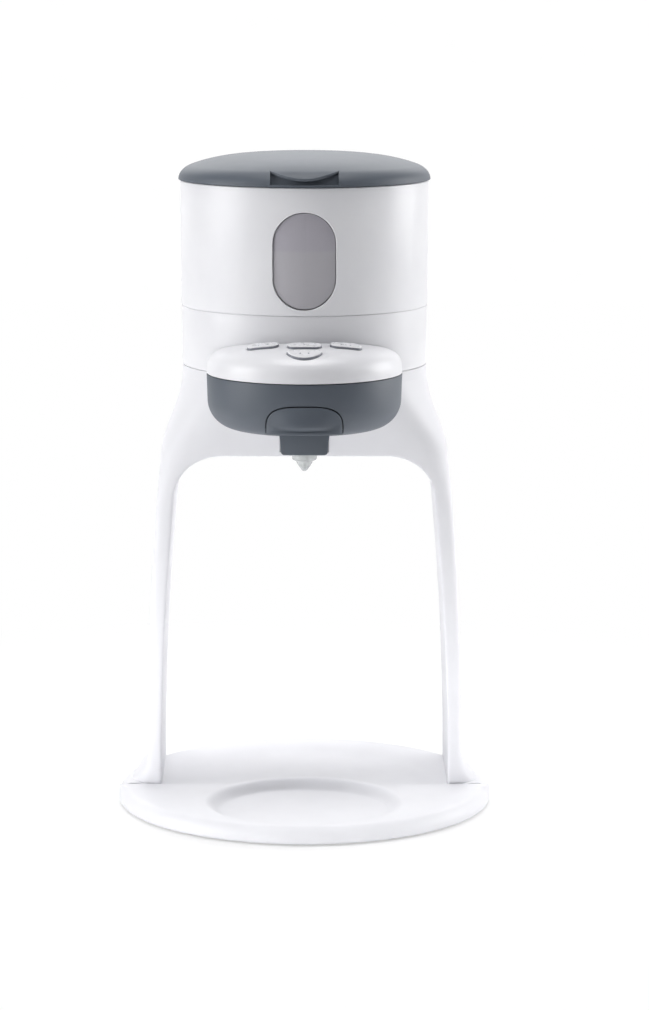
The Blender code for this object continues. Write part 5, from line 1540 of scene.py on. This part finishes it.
@dataclass
class Tank(Assembly):
    """The gloss white sleeve with its rounded window, the frosted vessel and the hinge's ears."""

    low: float = 255.4
    low_radius: float = 61.7
    top: float = 317.2
    top_radius: float = 62.0
    wall: float = 2.7
    ledge_radius: float = 50.0
    ledge_top: float = 258.0
    window_half: float = 15.3
    window_low: float = 258.0
    window_top: float = 305.3
    window_inside: float = -45.0
    window_past: float = 3.0
    ear: tuple[float, float] = (9.3, 14.3)
    pin: tuple[float, float] = (67.2, 321.5)
    ear_radius: float = 3.9
    ear_root: float = 305.0
    ear_top: float = 316.5
    ear_inset: float = 1.2
    ear_lean: float = 1.0
    ear_round: float = 0.4
    vessel_radius: float = 58.7
    vessel_low: float = 258.3
    vessel_top: float = 313.0
    vessel_wall: float = 2.0
    vessel_floor: float = 2.2
    pane: tuple[float, float] = (57.2, 60.9)
    pane_low: float = 255.0
    pane_top: float = 308.0
    pane_gap: float = 0.35
    pane_low_gap: float = 0.6
    pane_round: float = 0.45
    spigot: tuple[float, float] = (-24.0, 24.0)
    spigot_bore: float = 5.0
    spigot_radius: float = 6.6
    spigot_low: float = 246.0
    spigot_top: float = 259.0
    spring_low: float = 266.9
    spring_top: float = 272.7
    spring_radius: float = 4.0
    spring_wire: float = 0.4
    spring_turns: float = 5.0

    # The window's cutter: how far in front of the axis each ring stands and how much it grows.
    flare = ((-56.0, 0.0), (-61.1, 0.0), (-61.4, 0.06), (-61.65, 0.22), (-61.85, 0.46))
    flare += ((-62.2, 0.95),)

    def sleeve(self) -> None:
        """Makes the sleeve as a turned ring section and cuts the window.

        The opening flares outwards in the last half millimetre of the wall, which rounds its edge.
        The drum curves away from the middle, and the flare follows it: y -> -sqrt(y^2 - x^2).
        """
        corners = [
            (self.ledge_radius, self.low, 0.4),
            (self.low_radius, self.low, 0.35),
            (self.top_radius, self.top, 0.8),
            (self.top_radius - self.wall, self.top, 0.8),
            (self.low_radius - self.wall, self.ledge_top, 0.8),
            (self.ledge_radius, self.ledge_top, 0.4),
        ]
        section = rounded_profile(corners, closed=True)
        sleeve = revolve("tank_sleeve_shell", section, 288, ring=True)
        half = self.window_half
        ends = self.window_low + half, self.window_top - half
        rings = [laid(slot_outline(*ends, half + grow), y, View.FRONT) for y, grow in self.flare]
        cutter = np.array(rings)
        x, y = cutter[..., 0], cutter[..., 1]
        cutter[..., 1] = -np.sqrt(y**2 - np.clip(x, -half, half) ** 2)
        cutter[-1, :, 1] -= self.window_past
        cutter[0, :, 1] = self.window_inside
        carve(sleeve, loop_tube("cut_window", cutter))
        dress(sleeve, self.palette.shell, "tank", "tank_sleeve", 30)

    def ears(self) -> None:
        """Makes the two hinge ears: a round head over a root that leans back into the sleeve."""
        inside, root = self.top_radius - self.ear_inset, self.ear_root
        head = arc(self.pin, (self.ear_radius, self.ear_radius), -35, 190, 26)
        corners = [(inside, self.ear_top), (inside, root), (inside + self.ear_lean, root)]
        outline = np.concatenate([head, corners])
        for side in Side:
            low, high = sorted(side.value * x for x in self.ear)
            ear = prism(f"hinge_ear_{side.name.lower()}", outline, low, high, View.SIDE)
            round_edges(ear, self.ear_round)
            dress(ear, self.palette.shell, "tank", "tank_sleeve")

    def vessel(self) -> None:
        """Makes the vessel as a turned cup, the pane that fills the window, and the spigot."""
        inside, floor = self.vessel_radius - self.vessel_wall, self.vessel_low + self.vessel_floor
        corners = [
            (0.0, self.vessel_low, 0),
            (self.vessel_radius, self.vessel_low, 2.4),
            (self.vessel_radius, 300.0, 0),
            (self.vessel_radius, self.vessel_top, 0.6),
            (inside, self.vessel_top, 0.6),
            (inside, floor, 1.6),
            (0.0, floor, 0),
        ]
        vessel = revolve("water_vessel", rounded_profile(corners), 256)
        carve(vessel, drum("cut_bore", self.spigot_bore, 240.0, 264.0, 64, self.spigot))
        (inner, outer), low, top = self.pane, self.pane_low, self.pane_top
        section = [(inner, low), (outer, low), (outer, top), (inner, top)]
        pane = revolve("vessel_pane", section, 256, ring=True)
        half = self.window_half - self.pane_gap
        low, top = self.window_low + self.pane_low_gap, self.window_top - self.pane_gap
        window = slot_outline(low + half, top - half, half)
        window = prism("cut_pane", window, -70.0, self.window_inside, View.FRONT)
        carve(pane, window, keep=True)
        round_edges(pane, self.pane_round)
        bore, radius = self.spigot_bore, self.spigot_radius
        low, top = self.spigot_low, self.spigot_top
        pipe = [(bore, low, 0.3), (radius, low, 0.6), (radius, top, 0), (bore, top, 0)]
        pipe = rounded_profile(pipe, closed=True)
        spigot = revolve("vessel_spigot", pipe, 64, self.spigot, ring=True)
        for piece, sharp in ((vessel, 35), (pane, 50), (spigot, 35)):
            dress(piece, self.palette.frosted, "tank", "water_tank", sharp)

    def spring(self) -> None:
        """Makes the valve's spring as a wire swept along a helix, its end coils lying closer.

        Along the wire, at share u, the turn is 2 pi n u. The pitch shrinks to a third over the
        first and the last turn.
        """
        u = np.linspace(0, 1, 360)
        turn = 2 * np.pi * self.spring_turns * u
        ends = smooth_step(u * self.spring_turns) * smooth_step((1 - u) * self.spring_turns)
        rate = 0.33 + 0.67 * ends
        rise = np.concatenate([[0], np.cumsum((rate[1:] + rate[:-1]) / 2)])
        wire = self.spring_wire
        height = self.spring_top - self.spring_low - 2 * wire
        z = self.spring_low + wire + height * rise / rise[-1]
        out = np.stack([np.cos(turn), np.sin(turn), 0 * turn], -1)
        x = self.spigot[0] + self.spring_radius * out[:, 0]
        y = self.spigot[1] + self.spring_radius * out[:, 1]
        v = np.linspace(0, 2 * np.pi, 12, endpoint=False)[None, :, None]
        ring = np.cos(v) * out[:, None] + np.sin(v) * np.array([0.0, 0.0, 1.0])
        spring = loop_tube("valve_spring_wire", np.stack([x, y, z], -1)[:, None] + wire * ring)
        dress(spring, self.palette.zinc, "tank", "valve_spring", 60)

    def build(self) -> None:
        """Makes the sleeve, the ears, the vessel and the spring."""
        self.sleeve()
        self.ears()
        self.vessel()
        self.spring()


@dataclass
class Lid(Assembly):
    """The slate-grey lid: a flat dome that rolls over to its rim, a tongue over a finger notch."""

    crown: float = 330.4
    fall: float = 5.7
    dome_radius: float = 56.3
    dome_power: float = 3.5
    radius: float = 62.8
    rim: float = 317.5
    rim_turn: float = 62.0
    rim_lip: float = 0.15
    rim_flat: float = 8.5
    hollow_radius: float = 50.0
    hollow_top: float = 322.5
    hollow_rise: float = 0.8
    notch_half: float = 16.5
    notch_front: float = -80.0
    notch_top: float = 345.0
    notch_rear: float = -60.6
    notch_bend: float = 4.0
    notch_lean: float = 10.5
    shelf: float = 0.9
    tongue_radius: float = 21.9
    tongue_at: float = -39.8
    tongue_half: float = 16.8
    tongue_rear: float = -50.0
    tongue_wall: float = 1.6
    tongue_lift: float = 0.2
    tongue_lip: float = 0.5
    knuckle_half: float = 9.0
    knuckle_radius: float = 3.9
    pin: tuple[float, float] = (67.2, 321.5)
    web: tuple[float, float, float] = (55.0, 317.9, 323.6)
    web_round: float = 0.4

    def rim_curve(self, steps: int) -> np.ndarray:
        """The rounding from the dome to the rim.

        At angle a from A to 0 degrees the curve has gone (cos a - cos A) / (1 - cos A) of the way
        out and is still sin a / sin A of the way up.

        Args:
            steps: Number of points.

        Returns:
            (radius, height) pairs.
        """
        a = np.radians(np.linspace(self.rim_turn, 0, steps))
        out = (np.cos(a) - np.cos(a[0])) / (1 - np.cos(a[0]))
        up = np.sin(a) / np.sin(a[0])
        radius = self.dome_radius + (self.radius - self.dome_radius) * out
        return np.stack([radius, self.rim + (self.crown - self.fall - self.rim) * up], -1)

    def surface(self, r: np.ndarray) -> np.ndarray:
        """Height of the lid's top at a distance from its middle.

        On the dome it is crown - fall * (r / dome radius)^power, and beyond it the rim's curve.

        Args:
            r: Distances.

        Returns:
            Heights.
        """
        share = np.minimum(r, self.dome_radius) / self.dome_radius
        dome = self.crown - self.fall * share**self.dome_power
        return np.where(r <= self.dome_radius, dome, np.interp(r, *self.rim_curve(120).T))

    def shell(self) -> None:
        """Makes the lid as a turned shell with a hollow and cuts the finger notch.

        The notch goes down to a thin shelf. Its back wall is an arc like the tongue's and leans
        back, so that light from above fills it.
        """
        r = np.linspace(0, self.dome_radius, 44)
        corners = [
            (self.radius, self.rim, 0),
            (self.hollow_radius + self.rim_flat, self.rim, 0.4),
            (self.hollow_radius, self.rim, 1.0),
            (self.hollow_radius, self.hollow_top, 2.0),
            (0.0, self.hollow_top + self.hollow_rise, 0),
        ]
        under = rounded_profile(corners)
        under[0, 0] -= self.rim_lip
        top = np.stack([r, self.surface(r)], -1)
        lid = revolve("lid_shell", np.concatenate([top, self.rim_curve(34)[1:], under]), 320)
        side, rear, bend = self.notch_half, self.notch_rear, self.notch_bend
        x = np.linspace(side, -side, 40)
        curve = (x / side) ** 2
        low = np.column_stack([x, rear + bend * curve])
        high = np.column_stack([x, rear + self.notch_lean + 2 * bend * curve])
        front = [(-side, self.notch_front), (side, self.notch_front)]
        levels = ((self.rim + self.shelf, low), (self.notch_top, high))
        loops = [laid(np.concatenate([front, wall]), z, View.ABOVE) for z, wall in levels]
        carve(lid, loop_tube("cut_notch", np.array(loops)))
        knuckle = arc(self.pin, (self.knuckle_radius, self.knuckle_radius), -80, 140, 30)
        inside, low, high = self.web
        outline = np.concatenate([knuckle, [(inside, high), (inside, low)]])
        web = prism("lid_knuckle", outline, -self.knuckle_half, self.knuckle_half, View.SIDE)
        round_edges(web, self.web_round)
        for piece, sharp in ((lid, 40), (web, 35)):
            dress(piece, self.palette.slate, "lid", "tank_lid", sharp)

    def tongue(self) -> None:
        """Makes the tongue: a thin crescent that carries on the lid's curve, with a round lip.

        Its plan is the part of a disc between two lines. Ring k stands at share k between the
        straight rear edge and the disc's front arc, at the lid's own height plus a small lift,
        and the lip rounds down by half the wall.
        """
        x = self.tongue_half * np.sin(np.linspace(-np.pi / 2, np.pi / 2, 72))
        front = self.tongue_at - np.sqrt(self.tongue_radius**2 - x**2) + self.tongue_lip
        y = rows_between(self.tongue_rear, front, np.linspace(0, 1, 30))
        x_rows = np.broadcast_to(x, y.shape)
        top = np.stack([x_rows, y, self.surface(np.hypot(x_rows, y)) + self.tongue_lift], -1)
        t = np.radians(np.linspace(90, -90, 13)[1:-1])[:, None]
        radius = self.tongue_wall / 2
        y = front - self.tongue_lip * np.cos(t)
        z = top[-1, :, 2] - radius + radius * np.sin(t)
        lip = np.stack([np.broadcast_to(x, y.shape), y, z], -1)
        bottom = top[::-1] - np.array([0.0, 0.0, self.tongue_wall])
        section = np.concatenate([top, lip, bottom])
        made = loop_tube("lid_tongue", section.transpose(1, 0, 2))
        dress(made, self.palette.slate, "lid", "tank_lid", 50)

    def build(self) -> None:
        """Makes the lid and its tongue."""
        self.shell()
        self.tongue()


@dataclass
class Fixings(Assembly):
    """The small parts seen from below and behind: rubber pads, screws and the cord's gland."""

    pad_radius: float = 8.5
    pad_height: float = 0.9
    pad_ring: float = 78.0
    head_radius: float = 3.0
    head_low: float = 0.2
    head_top: float = 0.9
    shank: float = 1.2
    slot: tuple[float, float, float] = (1.7, 0.3, 0.42)
    gland_z: float = 202.0
    gland_flange: float = 7.5
    gland_neck: float = 5.4
    gland_bore: float = 3.2
    gland_front: float = 55.1
    gland_rear: float = 62.9

    # The ring groove under a pad: radius, height and rounding of its corners.
    groove = ((5.6, 0.0, 0.1), (5.2, 0.3, 0.1), (4.4, 0.3, 0.1), (4.0, 0.0, 0.1))
    # Where the pads stand round the foot, in degrees; the screws' places are the CAD's.
    angles = {"front_left": 225.0, "front_right": 315.0, "rear_left": 118.0, "rear_right": 62.0}

    def pad(self, place: str, angle: float) -> None:
        """Makes one pad: a low disc whose worn edge is rounded, with a shallow ring groove.

        Args:
            place: Which pad.
            angle: Where it stands round the foot, in degrees.
        """
        a = np.radians(angle)
        centre = (self.pad_ring * float(np.cos(a)), self.pad_ring * float(np.sin(a)))
        outside = [(0.0, self.pad_height, 0), (self.pad_radius, self.pad_height, 0.1)]
        corners = [*outside, (self.pad_radius, 0.0, 0.35), *self.groove, (0.0, 0.0, 0)]
        made = revolve(f"pad_{place}", rounded_profile(corners), 72, centre)
        dress(made, self.palette.rubber, "stand", f"foot_pad_{place}")

    def screw(self, place: str) -> None:
        """Makes one screw from the CAD's place: a low pan with a cross recess, on its shank.

        Args:
            place: Which screw.
        """
        low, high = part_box(f"base_screw_{place}")
        x, y = (low[0] + high[0]) / 2 / MM, (low[1] + high[1]) / 2 / MM
        tip = high[2] / MM
        corners = [
            (0.0, self.head_low, 0),
            (self.head_radius - 0.7, self.head_low, 0.5),
            (self.head_radius, self.head_low + 0.4, 0.2),
            (self.head_radius, self.head_top, 0),
            (self.shank, self.head_top, 0),
            (self.shank, tip - 0.4, 0),
            (self.shank - 0.4, tip, 0),
            (0.0, tip, 0),
        ]
        made = revolve(f"screw_{place}", rounded_profile(corners), 48, (x, y))
        long, thin, deep = self.slot
        for wide, tall in ((long, thin), (thin, long)):
            top = (x + wide, y + tall, self.head_low + deep)
            carve(made, block("cut_slot", (x - wide, y - tall, 0.0), top))
        dress(made, self.palette.zinc, "stand", f"base_screw_{place}")

    def gland(self) -> None:
        """Makes the gland: a ringed rubber sleeve through the neck's rear, with a flange."""
        flange, neck, bore = self.gland_flange, self.gland_neck, self.gland_bore
        front, rear = self.gland_front, self.gland_rear
        outside = [(neck - 0.4, front), (neck, front + 1.0), (neck, 59.6), (neck, 60.9)]
        outside += [(flange, 61.2), (flange, 62.4), (flange - 0.7, rear)]
        inside = [(bore + 0.4, rear), (bore, rear - 0.5), (bore, front)]
        corners = [(radius, y, 0.2) for radius, y in outside + inside]
        radius, y = rounded_profile(corners, closed=True, steps=4).T[..., None]
        turn = np.linspace(0, 2 * np.pi, 72, endpoint=False)
        x, z = radius * np.cos(turn), self.gland_z + radius * np.sin(turn)
        loops = np.stack([x, np.broadcast_to(y, x.shape), z], -1)
        made = loop_tube("gland_moulding", loops, closed=True)
        dress(made, self.palette.rubber, "stand", "cord_gland")

    def build(self) -> None:
        """Makes the pads, the screws and the gland."""
        for place, angle in self.angles.items():
            self.pad(place, angle)
            self.screw(place)
        self.gland()


@dataclass
class InnerWorks(Assembly):
    """The hidden works: the CAD's own solids, each with the finish of what it is made of."""

    def build(self) -> None:
        """Puts each finish on its solids."""
        p = self.palette
        finishes = [
            (p.paint, ["base_plate"]),
            (p.zinc, ["chassis_plate", "hinge_pin"]),
            (p.board, ["control_board", "power_board"]),
            (p.nylon, ["pump", "spout_elbow", "tank_socket", "valve_cage", "valve_plunger"]),
            (p.aluminium, ["heater_block"]),
            (p.silicone, ["inlet_hose", "pump_hose", "outlet_hose"]),
            (p.rubber, ["socket_seal", "valve_seal", "nozzle_seal"]),
        ]
        for material, names in finishes:
            for name in names:
                solid = bpy.data.objects[name]
                if not solid.material_slots:
                    solid.data.materials.append(material)
                for place in solid.material_slots:
                    place.material = material
                LOG.info("%s: finish %s", name, material.name)


# Studio


@dataclass(frozen=True)
class Lamp:
    """A rectangular soft lamp that the camera doesn't see.

    Lengths are in metres. The spread is the angle of its beam in degrees, as a grid in front of a
    softbox narrows it.
    """

    name: str
    place: tuple[float, float, float]
    aim: tuple[float, float, float]
    size: tuple[float, float]
    watts: float
    spread: float = 180.0
    mirrored: bool = True

    def build(self) -> None:
        """Adds the lamp."""
        light = bpy.data.lights.new(self.name, "AREA")
        light.shape = "RECTANGLE"
        light.size, light.size_y = self.size
        light.energy = self.watts
        light.spread = np.radians(self.spread)
        made = bpy.data.objects.new(self.name, light)
        made.visible_camera = False
        made.visible_glossy = self.mirrored
        made.location = self.place
        beam = Vector(self.aim) - Vector(self.place)
        made.rotation_euler = beam.to_track_quat("-Z", "Y").to_euler()
        bpy.context.scene.collection.objects.link(made)


@dataclass
class Studio:
    """A bright photo table: white floor and backdrop, large soft lamps and the camera.

    Lengths are in metres and the camera's pitch in degrees.
    """

    camera_at: tuple[float, float, float] = (0.0, -1.647, 0.433)
    pitch: float = 9.67
    lens: float = 117.5
    shift: float = 0.0199
    air: float = 0.14
    backdrop_glow: float = 1.0
    backdrop_shade: float = 0.41
    backdrop_at: float = 2.4
    backdrop_top: float = 2.2
    half: float = 3.0
    floor_lift: float = 0.5
    floor_near: float = 0.10
    floor_far: float = 0.45
    floor_gap: float = 1e-4

    lamps = (
        # Two tall side lamps leave the middle of every upright surface darker than its flanks.
        Lamp("lamp_left", (-1.35, -0.36, 0.6), (0.0, 0.0, 0.2), (0.9, 0.9), 10.8),
        Lamp("lamp_right", (1.35, 0.36, 0.6), (0.0, 0.0, 0.2), (0.9, 0.9), 10.9),
        # The rear lamp stands where the lid mirrors it towards the camera.
        Lamp("lamp_rear", (0.0, 1.8, 1.5), (0.0, 0.0, 0.1), (2.4, 1.3), 21.5),
        Lamp("lamp_top", (0.0, -0.1, 2.3), (0.0, 0.0, 0.0), (1.3, 1.3), 28.0),
        # A low narrow beam from the front lifts the foot and the legs and leaves the drum alone.
        Lamp("lamp_front", (0.0, -1.3, 0.06), (0.0, 0.0, 0.05), (1.0, 0.1), 0.24, 12.0, False),
    )

    def world(self) -> None:
        """White to the camera and a dim grey-white as light on the object."""
        world = bpy.data.worlds.new("studio_air")
        bpy.context.scene.world = world
        world.use_nodes = True
        tree = world.node_tree
        tree.nodes.clear()
        path = add_node(tree, "ShaderNodeLightPath").outputs["Is Camera Ray"]
        inputs = {"Color": linear("#FFFFFF"), "Strength": 1.0}
        seen = add_node(tree, "ShaderNodeBackground", inputs).outputs[0]
        inputs = {"Color": linear("#FAFBFF"), "Strength": self.air}
        light = add_node(tree, "ShaderNodeBackground", inputs).outputs[0]
        mixed = add_node(tree, "ShaderNodeMixShader", {0: path, 1: light, 2: seen}).outputs[0]
        add_node(tree, "ShaderNodeOutputWorld", {"Surface": mixed})

    def card(
        self, name: str, corners: Sequence[Sequence[float]], material: bpy.types.Material
    ) -> None:
        """Stages a flat card.

        Args:
            name: Name of the card.
            corners: Its four corners in metres.
            material: What it shows.
        """
        mesh = bpy.data.meshes.new(name)
        mesh.from_pydata(list(corners), [], [(0, 1, 2, 3)])
        mesh.materials.append(material)
        made = bpy.data.objects.new(name, mesh)
        bpy.context.scene.collection.objects.link(made)

    def backdrop(self) -> None:
        """A lit white backdrop; it is what the lid's top mirrors at its flat angle.

        It is white to the camera and in reflections, and to a matt surface it is grey paper in
        the lamps' fall-off.
        """
        made, shader = new_material("backdrop_paper")
        tree = made.node_tree
        tree.nodes.remove(shader)
        low, high = NOISE_SPAN
        inputs = {"Value": blotches(tree, 40.0), "From Min": low, "From Max": high}
        inputs |= {"To Min": self.backdrop_glow, "To Max": self.backdrop_glow * 1.02}
        paper = add_node(tree, "ShaderNodeMapRange", inputs).outputs[0]
        matt = add_node(tree, "ShaderNodeLightPath").outputs["Is Diffuse Ray"]
        inputs = {"Value": matt, "To Min": paper, "To Max": self.backdrop_shade}
        bright = add_node(tree, "ShaderNodeMapRange", inputs).outputs[0]
        inputs = {"Color": linear("#FFFFFF"), "Strength": bright}
        glow = add_node(tree, "ShaderNodeEmission", inputs).outputs[0]
        feed(tree.nodes["Material Output"], {"Surface": glow})
        x, y, top = self.half, self.backdrop_at, self.backdrop_top
        self.card("backdrop", [(-x, y, 0.0), (x, y, 0.0), (x, y, top), (-x, y, top)], made)

    def floor(self) -> None:
        """A white table under the object whose soft shadow stays.

        To the camera its shade is lifted by a share that grows with the distance from the object,
        from the lift near the foot to one at its far mark, where it becomes pure white; light
        that bounces sees plain white paper. The table lies a little under the pads, so that the
        two never share a plane.
        """
        made, shader = new_material("table_paper")
        tree = made.node_tree
        texture(shader, 0.9, 1 / 18, blotches(tree, 1.5, 4.0))
        feed(shader, {"Base Color": linear("#FFFFFF"), "IOR": 1.2})
        place = add_node(tree, "ShaderNodeTexCoord").outputs["Object"]
        away = add_node(tree, "ShaderNodeVectorMath", {0: place}, operation="LENGTH")
        inputs = {"Value": away.outputs["Value"], "To Min": self.floor_lift, "To Max": 1.0}
        inputs |= {"From Min": self.floor_near, "From Max": self.floor_far}
        soft = {"interpolation_type": "SMOOTHSTEP"}
        share = add_node(tree, "ShaderNodeMapRange", inputs, **soft).outputs[0]
        inputs = {0: share, 1: add_node(tree, "ShaderNodeLightPath").outputs["Is Camera Ray"]}
        seen = add_node(tree, "ShaderNodeMath", inputs, operation="MULTIPLY").outputs[0]
        inputs = {"Color": linear("#FFFFFF"), "Strength": 1.0}
        white = add_node(tree, "ShaderNodeEmission", inputs).outputs[0]
        inputs = {0: seen, 1: shader.outputs[0], 2: white}
        mixed = add_node(tree, "ShaderNodeMixShader", inputs).outputs[0]
        feed(tree.nodes["Material Output"], {"Surface": mixed})
        x, z = self.half, -self.floor_gap
        self.card("table", [(-x, -x, z), (x, -x, z), (x, x, z), (-x, x, z)], made)

    def camera(self) -> None:
        """Stands the camera where the photograph was taken from."""
        lens = bpy.data.cameras.new("camera")
        lens.lens = self.lens
        lens.sensor_fit = "VERTICAL"
        lens.sensor_height = 36.0
        lens.shift_x = self.shift
        lens.clip_start = 0.05
        made = bpy.data.objects.new("camera", lens)
        made.location = self.camera_at
        made.rotation_euler = (np.radians(90 - self.pitch), 0.0, 0.0)
        bpy.context.scene.collection.objects.link(made)
        bpy.context.scene.camera = made

    def build(self) -> None:
        """Sets up the air, the table, the backdrop, the lamps and the camera."""
        self.world()
        self.floor()
        self.backdrop()
        for lamp in self.lamps:
            lamp.build()
        self.camera()
        bpy.context.scene.view_settings.view_transform = "Standard"


def main() -> None:
    """Builds every sub-assembly in order, then the studio."""
    logging.basicConfig(level=logging.INFO, format="%(message)s", stream=sys.stdout)
    palette = Palette()
    spout = Spout(palette)
    head = HeadUnit(palette, spout)
    parts = [Stand(palette), Tray(palette), Housing(palette), head, spout]
    parts += [Tank(palette), Lid(palette), Fixings(palette), InnerWorks(palette)]
    for part in parts:
        part.build()
    Studio().build()


if __name__ == "__main__":
    main()
